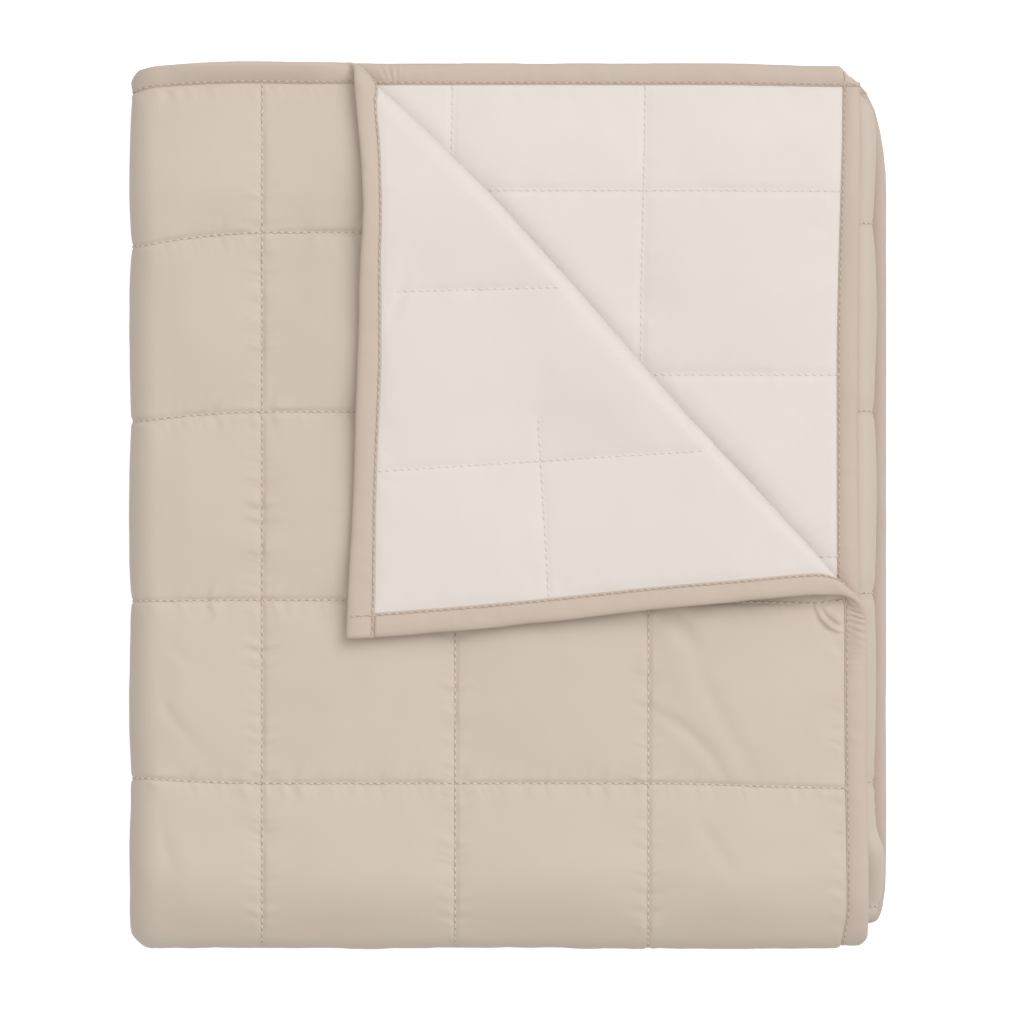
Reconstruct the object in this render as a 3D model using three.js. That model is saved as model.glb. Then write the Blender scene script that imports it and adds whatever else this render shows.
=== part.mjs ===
// A quilted all-season duvet, folded into a pack with one corner turned back.
// Millimetres, +Z up. The pack lies on z = 0, its open edges towards +Y and its bound ends towards +X.
//
// The duvet is worked out flat first. On the flat sheet "a" runs along its length from the bound end that
// ends up on top, "b" runs across it from the front edge, and "n" is the height over its middle surface,
// towards the beige face. place() then folds a flat point into the pack: across in half (a hairpin at -Y),
// then to and fro along its length (four panels), then the top corner back over itself.
import * as THREE from 'three';

// Quilt and binding
const LAYER_PITCH = 10.5;
const CROWN = 9;
const STITCHED = 3.2;
const PILLOW_FULLNESS = 0.7;
const BOUND_EDGE = 2.4;
const BINDING_WIDTH = 14;
const BINDING_CLOTH = 0.8;
const GAP = 0.3;
const FOLD_ALLOWANCE = 1;
const COLUMN_PITCH = 127.3;
const FIRST_COLUMN = 143.9;
const COLUMN_COUNT = 14;

// Rows of quilting, measured across the sheet from the front edge. Their spacing is as uneven as the sewing.
const ROW_LINES = [112.2, 230.3, 354.4, 475.2, 597.6, 720.0, 842.5, 960.6, 1082.1];

// Panels from top to bottom. Each runs from one x to the next and the sheet turns under itself between them.
const PANELS = [
  { from: 236.3, to: -230 },
  { from: -230, to: 223.2 },
  { from: 223.2, to: -229 },
  { from: -229, to: 249.2 },
];
const OPEN_EDGE_Y = 292;
const HAIRPIN_Y = -284.6;

// Turned-back corner: where its fold crosses the front edge and the bound end, and where its tip comes to lie
const FLAP = {
  foldFront: new THREE.Vector2(-98, 292),
  foldEnd: new THREE.Vector2(236.3, -67.2),
  tip: new THREE.Vector2(-106.9, -88.1),
  bend: 6,
  flattened: 3,
  paddingAtBend: 0.4,
};

// Quilting lines on the flap as it lies in the pack
const FLAP_LINES = [
  { x1: -71.9, y1: 138.9, x2: 45.5, y2: 142.2 },
  { x1: -83.8, y1: 22.8, x2: 136.6, y2: 36.6 },
  { x1: 17.8, y1: 135.6, x2: 27.1, y2: -62.4 },
  { x1: 139.9, y1: 33.3, x2: 149.8, y2: -45.9 },
];

// How the lower layers draw in at the corners of the pack (start and end along y, and the draw-in along x)
const UNDER_CORNERS = [
  { start: 206, end: 300, drawIn: 47 },
  { start: -246, end: -300, drawIn: 24 },
];
const DRAW_IN_FROM = 100;
const DRAW_IN_TO = 245;
const SECOND_LAYER_SETBACK = 4.6;
const SECOND_LAYER_CORNER = { along: 16.5, drop: 12 };
const FOLDED_CORNER_DROP = 9;
const OPEN_EDGE_EASE = 142;

// How the layers settle onto each other where they thin out: the share of their pitch that is left at an edge
const SETTLE_LENGTH = 90;
const OPEN_EDGE_SETTLE = 0.78;
const BOUND_END_SETTLE = 0.62;
const BOUND_END_DROOP = 1.5;

// Fineness of the mesh
const TURN_STEPS = 6;
const SHOWN_FRACTIONS = [0.15, 0.5, 0.85];
const HIDDEN_FRACTIONS = [0.5];
const ROW_FRACTIONS = [0.2, 0.8];
const LEAST_SPACING = 6;
const SAME_POINT = 1e-6;

const COLOURS = { face: 0xd1c3b6, binding: 0xc6b5a4 };

// Sizes that follow from the ones above
const HALF_PITCH = LAYER_PITCH / 2;
const TURN_LENGTH = Math.PI * LAYER_PITCH;
const HAIRPIN_LENGTH = Math.PI * HALF_PITCH;
const ARM_LENGTH = OPEN_EDGE_Y - HAIRPIN_Y;
const SHEET_WIDTH = 2 * ARM_LENGTH + HAIRPIN_LENGTH;
const SQUARE_HALF = COLUMN_PITCH / 2;
const SEAM = BINDING_WIDTH + GAP;
const EDGE_INSET = BINDING_CLOTH + FOLD_ALLOWANCE;
const FLOOR_LAYER_HEIGHT = CROWN / 2;

const panelStarts = [];
let runningLength = 0;
for (const panel of PANELS) {
  panel.length = Math.abs(panel.to - panel.from);
  panelStarts.push(runningLength);
  runningLength += panel.length + TURN_LENGTH;
}
const SHEET_LENGTH = runningLength - TURN_LENGTH;
const LAST_PANEL = PANELS.length - 1;
const FIRST_FOLD = PANELS[0].length;

const COLUMN_LINES = Array.from({ length: COLUMN_COUNT }, (_, i) => FIRST_COLUMN + i * COLUMN_PITCH);

const smooth = (value, low, high) => THREE.MathUtils.smoothstep((value - low) / (high - low), 0, 1);

/** Middle height of a panel's two layers. */
function panelHeight(index) {
  return FLOOR_LAYER_HEIGHT + HALF_PITCH + (LAST_PANEL - index) * 2 * LAYER_PITCH;
}

/** Point and upward-at-first normal of the to-and-fro path, in x and z, at length a. */
function pathAt(a) {
  for (let i = 0; i <= LAST_PANEL; i += 1) {
    const panel = PANELS[i];
    const along = a - panelStarts[i];
    const facing = i % 2 === 0 ? 1 : -1;
    if (along <= panel.length || i === LAST_PANEL) {
      const x = panel.from + Math.sign(panel.to - panel.from) * along;
      return { x, z: panelHeight(i), nx: 0, nz: facing };
    }
    if (along <= panel.length + TURN_LENGTH) {
      const angle = (along - panel.length) / LAYER_PITCH;
      const outX = Math.sign(panel.to - panel.from) * Math.sin(angle);
      const outZ = Math.cos(angle);
      const centreZ = panelHeight(i) - LAYER_PITCH;
      return {
        x: panel.to + LAYER_PITCH * outX,
        z: centreZ + LAYER_PITCH * outZ,
        nx: facing * outX,
        nz: facing * outZ,
      };
    }
  }
  return null;
}

/** Point and normal of the hairpin that folds the sheet in half, in y and in height over the path. */
function hairpinAt(b) {
  if (b <= ARM_LENGTH) {
    return { y: OPEN_EDGE_Y - b, over: HALF_PITCH, ny: 0, nOver: 1 };
  }
  if (b >= ARM_LENGTH + HAIRPIN_LENGTH) {
    return { y: HAIRPIN_Y + b - ARM_LENGTH - HAIRPIN_LENGTH, over: -HALF_PITCH, ny: 0, nOver: -1 };
  }
  const angle = (b - ARM_LENGTH) / HALF_PITCH;
  return {
    y: HAIRPIN_Y - HALF_PITCH * Math.sin(angle),
    over: HALF_PITCH * Math.cos(angle),
    ny: -Math.sin(angle),
    nOver: Math.cos(angle),
  };
}

// Fold of the corner: directions along and across it, and the stretch that takes the corner to its tip
const foldAlong = FLAP.foldEnd.clone().sub(FLAP.foldFront).normalize();
const foldAcross = new THREE.Vector2(-foldAlong.y, foldAlong.x);
const foldStart = FLAP.foldFront.clone().addScaledVector(foldAcross, -(FLAP.bend + FLAP.flattened));
const BEND_LENGTH = Math.PI * FLAP.bend;
const flatCorner = new THREE.Vector2(PANELS[0].from, OPEN_EDGE_Y).sub(foldStart);
const foldedTip = FLAP.tip.clone().sub(foldStart);
const FLAP_REACH = -foldedTip.dot(foldAcross);
const FLAP_STRETCH = (FLAP_REACH + BEND_LENGTH) / flatCorner.dot(foldAcross);
const FLAP_SHEAR = (foldedTip.dot(foldAlong) - flatCorner.dot(foldAlong)) / FLAP_REACH;

/** Where a flat point is along the corner's fold, and how far of the sheet lies past its start. */
function foldCoordinates(a, b) {
  const point = new THREE.Vector2(PANELS[0].from - a, OPEN_EDGE_Y - b).sub(foldStart);
  return { along: point.dot(foldAlong), past: FLAP_STRETCH * point.dot(foldAcross) };
}

/** Plan position of a flat point that lies on the flap, past its bend. */
function flapPlan(a, b) {
  const { along, past } = foldCoordinates(a, b);
  const lying = past - BEND_LENGTH;
  return foldStart.clone()
    .addScaledVector(foldAlong, along + FLAP_SHEAR * lying)
    .addScaledVector(foldAcross, -lying);
}

/** True where the corner of the upper layer is turned back. */
function isTurnedBack(a, b) {
  return a < FIRST_FOLD && b < ARM_LENGTH && foldCoordinates(a, b).past > 0;
}

/** Share of the layer pitch that is left at a distance from an edge. */
function settleShare(distance, share) {
  return THREE.MathUtils.lerp(share, 1, smooth(distance, 0, SETTLE_LENGTH));
}

/** Height of a layer's middle once the layers have settled towards the open edges and the bound ends. */
function settledHeight(z, a, y, over) {
  const open = settleShare(OPEN_EDGE_Y - y, OPEN_EDGE_SETTLE);
  const topEnd = Math.min(open, settleShare(a, BOUND_END_SETTLE));
  const underEnd = Math.min(open, settleShare(SHEET_LENGTH - a, BOUND_END_SETTLE));
  const upperShare = (over + HALF_PITCH) / LAYER_PITCH;
  const sunk = (open - topEnd) * upperShare + (open - underEnd) * (1 - upperShare);
  const droop = BOUND_END_DROOP * (1 - smooth(a, 0, SETTLE_LENGTH));
  return FLOOR_LAYER_HEIGHT + (z - FLOOR_LAYER_HEIGHT) * open - LAYER_PITCH * sunk - droop;
}

/** A point of the turned-back corner in the pack. */
function placeOnFlap(a, b, n) {
  const { along, past } = foldCoordinates(a, b);
  const angle = Math.min(past / FLAP.bend, Math.PI);
  const radius = FLAP.bend - n;
  const plan = past >= BEND_LENGTH ? flapPlan(a, b) : foldStart.clone()
    .addScaledVector(foldAlong, along)
    .addScaledVector(foldAcross, radius * Math.sin(angle));
  const top = panelHeight(0) + HALF_PITCH;
  const layerBelow = settledHeight(top, PANELS[0].from - plan.x, plan.y, HALF_PITCH);
  return new THREE.Vector3(plan.x, plan.y, layerBelow + FLAP.bend - radius * Math.cos(angle));
}

/** Draws the corners of the lower layers in, sets the second layer back and drops the folded corner. */
function easeCorners(point, a, b) {
  const nearRight = smooth(point.x, DRAW_IN_FROM, DRAW_IN_TO);
  const under = smooth(a, FIRST_FOLD, FIRST_FOLD + TURN_LENGTH);
  let drawIn = 0;
  for (const corner of UNDER_CORNERS) {
    const u = THREE.MathUtils.clamp((point.y - corner.start) / (corner.end - corner.start), 0, 1);
    drawIn += under * corner.drawIn * (1 - Math.sqrt(1 - u * u));
  }
  const second = (1 - under) * smooth(b, ARM_LENGTH + HAIRPIN_LENGTH, SHEET_WIDTH - ARM_LENGTH / 2);
  const cornerDrop = SECOND_LAYER_CORNER.drop * Math.max(0, 1 - a / SECOND_LAYER_CORNER.along);
  const nearOpenEdge = smooth(point.y, OPEN_EDGE_Y - OPEN_EDGE_EASE, OPEN_EDGE_Y);
  const pastFold = THREE.MathUtils.clamp((PANELS[0].to - point.x) / (2 * LAYER_PITCH), 0, 1);
  point.x -= nearRight * (drawIn + second * SECOND_LAYER_SETBACK);
  point.y -= nearOpenEdge * (second * cornerDrop + FOLDED_CORNER_DROP * pastFold * pastFold);
  return point;
}

/** Folds the flat point (a, b) at height n over the sheet's middle into the pack. */
function place(a, b, n) {
  if (isTurnedBack(a, b)) {
    return placeOnFlap(a, b, n);
  }
  const path = pathAt(a);
  const hairpin = hairpinAt(b);
  const over = hairpin.over + n * hairpin.nOver;
  const middle = settledHeight(path.z + path.nz * hairpin.over, a, hairpin.y, hairpin.over);
  const point = new THREE.Vector3(
    path.x + path.nx * over,
    hairpin.y + n * hairpin.ny,
    middle + path.nz * n * hairpin.nOver,
  );
  return easeCorners(point, a, b);
}

/** Rise of a padded square, 0 on its stitch line to 1 in its middle, at a distance from the line. */
function pillow(distance) {
  return Math.sin((Math.PI / 2) * Math.min(1, Math.abs(distance) / SQUARE_HALF)) ** PILLOW_FULLNESS;
}

/** Distance from a coordinate to the nearest of the lines across it and to its two bound edges. */
function nearestLine(value, lines, total) {
  const distances = lines.map((line) => Math.abs(value - line));
  return Math.min(...distances, value - SEAM, total - SEAM - value);
}

/** Padding of the flap, from its own quilting lines and the two bindings that edge it. */
function flapPadding(a, b) {
  const plan = flapPlan(a, b);
  let rise = pillow(a - SEAM) * pillow(b - SEAM);
  for (const line of FLAP_LINES) {
    const dx = line.x2 - line.x1;
    const dy = line.y2 - line.y1;
    const offset = (plan.x - line.x1) * dy - (plan.y - line.y1) * dx;
    rise *= pillow(offset / Math.hypot(dx, dy));
  }
  return rise;
}

/** Thickness of the quilt at a flat point. */
function thickness(a, b) {
  const inset = Math.min(a, b, SHEET_LENGTH - a, SHEET_WIDTH - b);
  if (inset <= SEAM + SAME_POINT) {
    return BOUND_EDGE;
  }
  const fromColumn = nearestLine(a, COLUMN_LINES, SHEET_LENGTH);
  const fromRow = nearestLine(b, ROW_LINES, SHEET_WIDTH);
  let rise = pillow(fromColumn) * pillow(fromRow);
  if (isTurnedBack(a, b)) {
    const { past } = foldCoordinates(a, b);
    const turned = smooth(past, 0, BEND_LENGTH);
    rise = THREE.MathUtils.lerp(rise, flapPadding(a, b), turned);
    const fromBend = Math.abs(past - BEND_LENGTH / 2);
    rise *= THREE.MathUtils.lerp(FLAP.paddingAtBend, 1, Math.min(1, fromBend / SQUARE_HALF));
  }
  return STITCHED + (CROWN - STITCHED) * rise;
}

/** Heights of the quilt's two surfaces at a flat point. The layer on the floor is pressed flat underneath. */
function quiltLevels(a, b) {
  const half = thickness(a, b) / 2;
  const inset = Math.min(a, b, SHEET_LENGTH - a, SHEET_WIDTH - b);
  if (inset <= SEAM + SAME_POINT) {
    return [-half, half];
  }
  const lastPanel = smooth(a, panelStarts[LAST_PANEL] - LAYER_PITCH, panelStarts[LAST_PANEL]);
  const pressed = lastPanel * (1 - smooth(b, ARM_LENGTH, ARM_LENGTH + HAIRPIN_LENGTH / 2));
  return [-half, THREE.MathUtils.lerp(half, FLOOR_LAYER_HEIGHT, pressed)];
}

/** Sorted lines with any that crowd the fixed ones left out. */
function mergeLines(fixed, optional) {
  const kept = [...fixed];
  for (const line of optional) {
    if (kept.every((other) => Math.abs(other - line) >= LEAST_SPACING)) {
      kept.push(line);
    }
  }
  return kept.sort((p, q) => p - q);
}

/** Lines between neighbouring stitch lines, at the given fractions of each square. */
function linesWithin(lines, fractionsFor) {
  const inner = [];
  for (let i = 0; i + 1 < lines.length; i += 1) {
    for (const fraction of fractionsFor(lines[i])) {
      inner.push(THREE.MathUtils.lerp(lines[i], lines[i + 1], fraction));
    }
  }
  return inner;
}

/** Evenly spaced lines over a bend of the sheet. */
function bendLines(start, length) {
  return Array.from({ length: TURN_STEPS + 1 }, (_, i) => start + (i * length) / TURN_STEPS);
}

const turnLines = PANELS.slice(0, LAST_PANEL)
  .flatMap((panel, i) => bendLines(panelStarts[i] + panel.length, TURN_LENGTH));
const columnStops = [SEAM, ...COLUMN_LINES, SHEET_LENGTH - SEAM];
const innerLengthLines = mergeLines(
  [...columnStops, ...turnLines],
  linesWithin(columnStops, (start) => (start < FIRST_FOLD ? SHOWN_FRACTIONS : HIDDEN_FRACTIONS)),
);
const rowStops = [SEAM, ...ROW_LINES, SHEET_WIDTH - SEAM];
const innerWidthLines = mergeLines(
  [...rowStops, ...bendLines(ARM_LENGTH, HAIRPIN_LENGTH)],
  linesWithin(rowStops, () => ROW_FRACTIONS),
);

/** Flat rectangles between two sets of lines, anticlockwise in a and b. */
function gridCells(aLines, bLines) {
  const cells = [];
  for (let i = 0; i + 1 < aLines.length; i += 1) {
    for (let j = 0; j + 1 < bLines.length; j += 1) {
      const [a0, a1, b0, b1] = [aLines[i], aLines[i + 1], bLines[j], bLines[j + 1]];
      cells.push([[a0, b0], [a1, b0], [a1, b1], [a0, b1]]);
    }
  }
  return cells;
}

/** Crossing of an edge with a line, the same whichever end comes first. */
function crossing(p, q, side) {
  const [first, second] = p[0] < q[0] || (p[0] === q[0] && p[1] < q[1]) ? [p, q] : [q, p];
  const share = side(first) / (side(first) - side(second));
  return [first[0] + share * (second[0] - first[0]), first[1] + share * (second[1] - first[1])];
}

/** Splits convex cells along the line where side() is zero. */
function splitCells(cells, side) {
  const result = [];
  for (const cell of cells) {
    const sides = cell.map(side);
    if (sides.every((s) => s > -SAME_POINT) || sides.every((s) => s < SAME_POINT)) {
      result.push(cell);
      continue;
    }
    const halves = [[], []];
    cell.forEach((point, i) => {
      const next = cell[(i + 1) % cell.length];
      const [here, there] = [sides[i], sides[(i + 1) % cell.length]];
      if (here > -SAME_POINT) halves[0].push(point);
      if (here < SAME_POINT) halves[1].push(point);
      if ((here > SAME_POINT && there < -SAME_POINT) || (here < -SAME_POINT && there > SAME_POINT)) {
        const cut = crossing(point, next, side);
        halves[0].push(cut);
        halves[1].push(cut);
      }
    });
    result.push(...halves);
  }
  return result;
}

const pastFlapBend = ([a, b]) => foldCoordinates(a, b).past - BEND_LENGTH;

/** Splits cells along the bend of the turned-back corner. */
function splitAtBend(cells) {
  return bendLines(0, BEND_LENGTH).reduce(
    (split, past) => splitCells(split, ([a, b]) => foldCoordinates(a, b).past - past),
    cells,
  );
}

/** Splits the cells of the flap along its quilting lines, and adds the new points to the cells beside it. */
function splitAtFlapLines(cells) {
  const isOnFlap = (point) => pastFlapBend(point) > -SAME_POINT && isTurnedBack(...point);
  const onFlap = (cell) => cell.every(isOnFlap);
  const beside = cells.filter((cell) => !onFlap(cell));
  const flap = FLAP_LINES.reduce((split, line) => splitCells(split, ([a, b]) => {
    const plan = flapPlan(a, b);
    const [dx, dy] = [line.x2 - line.x1, line.y2 - line.y1];
    return ((plan.x - line.x1) * dy - (plan.y - line.y1) * dx) / Math.hypot(dx, dy);
  }), cells.filter(onFlap));
  const onBend = flap.flat().filter((point) => Math.abs(pastFlapBend(point)) < SAME_POINT);
  const completed = beside.map((cell) => cell.flatMap((point, i) => {
    const next = cell[(i + 1) % cell.length];
    if (Math.abs(pastFlapBend(point)) > SAME_POINT || Math.abs(pastFlapBend(next)) > SAME_POINT) {
      return [point];
    }
    const low = Math.min(point[0], next[0]) + SAME_POINT;
    const high = Math.max(point[0], next[0]) - SAME_POINT;
    const between = onBend.filter((other) => other[0] > low && other[0] < high);
    between.sort((p, q) => (next[0] > point[0] ? p[0] - q[0] : q[0] - p[0]));
    return [point, ...between];
  }));
  return [...flap, ...completed];
}

/** Twice the flat area of a triangle. */
function doubleArea([p, q, r]) {
  return (q[0] - p[0]) * (r[1] - p[1]) - (q[1] - p[1]) * (r[0] - p[0]);
}

/** Fan of triangles over a convex cell, from the corner that gives no sliver. */
function fan(cell) {
  let best = null;
  let bestLeast = -Infinity;
  cell.forEach((apex, i) => {
    const ring = [...cell.slice(i), ...cell.slice(0, i)];
    const triangles = ring.slice(1, -1).map((point, k) => [apex, point, ring[k + 2]]);
    const least = Math.min(...triangles.map(doubleArea));
    if (least > bestLeast + SAME_POINT) {
      best = triangles;
      bestLeast = least;
    }
  });
  return best;
}

/**
 * A closed solid over flat cells. levels(a, b) gives its heights at a point, lowest first, and
 * filled(centre, k) says whether the solid fills the space between heights k and k + 1 over a triangle.
 */
function foldedSolid(cells, levels, filled) {
  const points = [];
  const indexOf = new Map();
  const pointIndex = (point) => {
    const key = point.map((value) => Math.round(value / (10 * SAME_POINT))).join();
    if (!indexOf.has(key)) {
      indexOf.set(key, points.length);
      points.push(point);
    }
    return indexOf.get(key);
  };
  const corners = cells.flatMap(fan).map((triangle) => triangle.map(pointIndex));
  const triangles = corners.filter((c) => c[0] !== c[1] && c[1] !== c[2] && c[2] !== c[0]);
  const middleOf = (t, axis) => t.reduce((sum, i) => sum + points[i][axis] / 3, 0);
  const centres = triangles.map((t) => [middleOf(t, 0), middleOf(t, 1)]);
  const across = new Map();
  triangles.forEach((t, owner) => t.forEach((from, i) => across.set(`${from},${t[(i + 1) % 3]}`, owner)));

  const levelCount = levels(...points[0]).length;
  const positions = points.flatMap(([a, b]) => levels(a, b).flatMap((n) => place(a, b, n).toArray()));
  const vertex = (point, level) => point * levelCount + level;
  const faces = [];
  triangles.forEach((t, owner) => {
    for (let k = 0; k + 1 < levelCount; k += 1) {
      if (!filled(centres[owner], k)) continue;
      if (k === 0 || !filled(centres[owner], k - 1)) {
        faces.push(vertex(t[0], k), vertex(t[2], k), vertex(t[1], k));
      }
      if (k + 2 === levelCount || !filled(centres[owner], k + 1)) {
        faces.push(vertex(t[0], k + 1), vertex(t[1], k + 1), vertex(t[2], k + 1));
      }
      t.forEach((from, i) => {
        const to = t[(i + 1) % 3];
        const beyond = across.get(`${to},${from}`);
        if (beyond !== undefined && filled(centres[beyond], k)) return;
        faces.push(vertex(from, k), vertex(to, k), vertex(to, k + 1));
        faces.push(vertex(from, k), vertex(to, k + 1), vertex(from, k + 1));
      });
    }
  });
  const loose = new THREE.BufferGeometry();
  loose.setAttribute('position', new THREE.Float32BufferAttribute(positions, 3));
  loose.setIndex(faces);
  const geometry = loose.toNonIndexed();
  geometry.computeVertexNormals();
  return geometry;
}

/** The quilt: one filled sheet, thin along its stitch lines and inside its binding. */
function quiltGeometry() {
  const lengthLines = [EDGE_INSET, ...innerLengthLines, SHEET_LENGTH - EDGE_INSET];
  const widthLines = [EDGE_INSET, ...innerWidthLines, SHEET_WIDTH - EDGE_INSET];
  const cells = splitAtFlapLines(splitAtBend(gridCells(lengthLines, widthLines)));
  return foldedSolid(cells, quiltLevels, () => true);
}

/** A strip of binding: a channel over the sheet's edge, where inset() is the distance from that edge. */
function bindingGeometry(aLines, bLines, inset) {
  const inside = BOUND_EDGE / 2 + GAP;
  const outside = inside + BINDING_CLOTH;
  const cells = splitAtFlapLines(splitAtBend(gridCells(aLines, bLines)));
  const channelFloor = 1;
  const filled = (centre, k) => k !== channelFloor || inset(...centre) < BINDING_CLOTH;
  return foldedSolid(cells, () => [-outside, -inside, inside, outside], filled);
}

const fullLengthLines = [0, ...innerLengthLines, SHEET_LENGTH];
const stripLines = [0, BINDING_CLOTH, BINDING_WIDTH];
const fromFarEdge = (total) => stripLines.map((line) => total - line).reverse();

const bindings = {
  binding_front_edge: bindingGeometry(fullLengthLines, stripLines, (a, b) => b),
  binding_back_edge: bindingGeometry(fullLengthLines, fromFarEdge(SHEET_WIDTH), (a, b) => SHEET_WIDTH - b),
  binding_top_end: bindingGeometry(stripLines, innerWidthLines, (a) => a),
  binding_under_end: bindingGeometry(fromFarEdge(SHEET_LENGTH), innerWidthLines, (a) => SHEET_LENGTH - a),
};

const quiltCloth = new THREE.MeshStandardMaterial({ color: COLOURS.face, roughness: 0.7, metalness: 0 });
const bindingCloth = new THREE.MeshStandardMaterial({ color: COLOURS.binding, roughness: 0.6, metalness: 0 });

const duvet = new THREE.Group();
duvet.name = 'folded_duvet';
const quilt = new THREE.Mesh(quiltGeometry(), quiltCloth);
quilt.name = 'quilt';
duvet.add(quilt);
for (const [name, geometry] of Object.entries(bindings)) {
  const strip = new THREE.Mesh(geometry, bindingCloth);
  strip.name = name;
  duvet.add(strip);
}

export default duvet;
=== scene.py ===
"""Looks of a quilted all-season duvet, folded into a pack with its top corner turned back.

The duvet is worked out flat first, in millimetres: a runs along its length from the bound end that lies on
top, b runs across it from the front edge, and n is the height over its middle, towards the beige face.
FoldedSheet then folds a flat point into the pack.
"""
import logging
import math
from dataclasses import dataclass
from enum import Enum
from functools import partial

import bpy
import numpy as np
from bpy.types import ID, Material, Node, NodeSocket, NodeTree, Object
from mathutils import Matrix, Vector

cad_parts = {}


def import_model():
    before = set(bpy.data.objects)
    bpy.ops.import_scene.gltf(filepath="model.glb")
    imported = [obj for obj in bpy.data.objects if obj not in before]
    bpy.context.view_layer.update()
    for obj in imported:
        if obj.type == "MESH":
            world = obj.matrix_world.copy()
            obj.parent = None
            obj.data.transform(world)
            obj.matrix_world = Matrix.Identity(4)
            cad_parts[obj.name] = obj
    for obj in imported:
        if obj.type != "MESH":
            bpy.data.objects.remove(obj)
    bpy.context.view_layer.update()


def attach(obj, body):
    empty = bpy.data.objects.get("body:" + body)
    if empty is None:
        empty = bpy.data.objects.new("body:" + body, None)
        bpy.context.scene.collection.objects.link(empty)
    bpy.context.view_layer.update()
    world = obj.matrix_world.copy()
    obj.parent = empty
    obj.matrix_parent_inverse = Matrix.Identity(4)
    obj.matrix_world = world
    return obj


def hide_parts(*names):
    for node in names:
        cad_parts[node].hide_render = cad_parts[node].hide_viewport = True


Array = np.ndarray
Pair = tuple[Array, Array]
Two = tuple[float, float]
LOG = logging.getLogger("duvet")
MM = 0.001
NEAR = 1e-6
BODY = "root"
FLAT_MAP = "flat"
WHITE = "#FFFFFF"
RGBA = {"data_type": "RGBA"}


class Side(Enum):
    """The two sides of the sheet, with the sign of their height over its middle."""

    FACE = 1
    REVERSE = -1


class Layer(Enum):
    """The three parts of the pack that show from above."""

    FRONT = "front"
    FLAP = "flap"
    SECOND = "second"


class Edge(Enum):
    """The four edges of the flat sheet, with the names of their bindings."""

    FRONT = "binding_front_edge"
    BACK = "binding_back_edge"
    TOP_END = "binding_top_end"
    UNDER_END = "binding_under_end"


def linear(hex_colour: str) -> tuple[float, ...]:
    """Turns an sRGB hex colour, six digits after a hash, to linear red, green, blue and alpha."""
    shares = [int(hex_colour[i:i + 2], 16) / 255 for i in (1, 3, 5)]
    return *(c / 12.92 if c <= 0.04045 else ((c + 0.055) / 1.055) ** 2.4 for c in shares), 1.0


def add_node(
    tree: NodeTree, kind: str, settings: dict | None = None, *values: object, **inputs: object
) -> Node:
    """Adds a node with its settings, and sets or links its inputs.

    Args:
        tree: the node tree.
        kind: the node's type.
        settings: properties of the node itself.
        values: for each of the first inputs, a value, a socket, or a node whose first output is linked.
        inputs: the same for each named input, with _ for a space.

    Returns:
        The new node.
    """
    node = tree.nodes.new(kind)
    for label, value in (settings or {}).items():
        setattr(node, label, value)
    pairs = list(zip(node.inputs, values))
    for label, value in inputs.items():
        wanted = label.replace("_", " ")
        pairs.append((next(s for s in node.inputs if s.name == wanted and s.enabled), value))
    for socket, value in pairs:
        if isinstance(value, Node):
            value = value.outputs[0]
        if isinstance(value, NodeSocket):
            tree.links.new(value, socket)
        else:
            socket.default_value = value
    return node


def new_material(name: str) -> Material:
    """Makes a material with an empty node tree.

    Args:
        name: name of the material.

    Returns:
        The material.
    """
    material = bpy.data.materials.new(name)
    material.use_nodes = True
    material.node_tree.nodes.clear()
    return material


@dataclass(frozen=True)
class ClothFinish:
    """Brushed polyester microfibre: a close plain weave, smooth and soft, with a faint satin sheen."""

    name: str
    colour: str
    shade: str
    roughness: float = 0.62
    specular: float = 0.32
    sheen: float = 0.12
    sheen_roughness: float = 0.45
    # Threads of this cloth are about 0.2 mm apart, too fine to show, so the weave is drawn at 1.3 mm.
    weave_pitch: float = 1.3
    weave_depth: float = 0.02
    fuzz_size: float = 0.9
    fuzz_detail: float = 2.0
    mottle_size: float = 48.0
    mottle_detail: float = 3.0

    def build(self) -> Material:
        """Makes the material: woven bump with fine fuzz, and a slow drift of colour across the cloth.

        Returns:
            The material.
        """
        material = new_material(self.name)
        node = partial(add_node, material.node_tree)
        flat = node("ShaderNodeUVMap", {"uv_map": FLAT_MAP})
        scale = 1.0 / (self.mottle_size * MM)
        mottle = node("ShaderNodeTexNoise", Vector=flat, Scale=scale, Detail=self.mottle_detail)
        shade, colour = linear(self.shade), linear(self.colour)
        mixed = node("ShaderNodeMix", RGBA, Factor=mottle, A=shade, B=colour).outputs["Result"]
        # A wave texture repeats every 2 pi / 20 of its scaled coordinate.
        waves = 2 * math.pi / 20 / (self.weave_pitch * MM)
        warp = node("ShaderNodeTexWave", {"bands_direction": "X"}, Vector=flat, Scale=waves).outputs["Fac"]
        weft = node("ShaderNodeTexWave", {"bands_direction": "Y"}, Vector=flat, Scale=waves).outputs["Fac"]
        weave = node("ShaderNodeMath", {"operation": "MULTIPLY"}, warp, weft)
        scale = 1.0 / (self.fuzz_size * MM)
        fuzz = node("ShaderNodeTexNoise", Vector=flat, Scale=scale, Detail=self.fuzz_detail)
        height = node("ShaderNodeMath", {"operation": "ADD"}, weave, fuzz)
        bump = node("ShaderNodeBump", Height=height, Distance=self.weave_depth * MM, Strength=1.0)
        shader = node(
            "ShaderNodeBsdfPrincipled", Base_Color=mixed, Normal=bump, Roughness=self.roughness,
            Specular_IOR_Level=self.specular, Sheen_Weight=self.sheen, Sheen_Roughness=self.sheen_roughness,
        )
        node("ShaderNodeOutputMaterial", Surface=shader)
        return material


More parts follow.
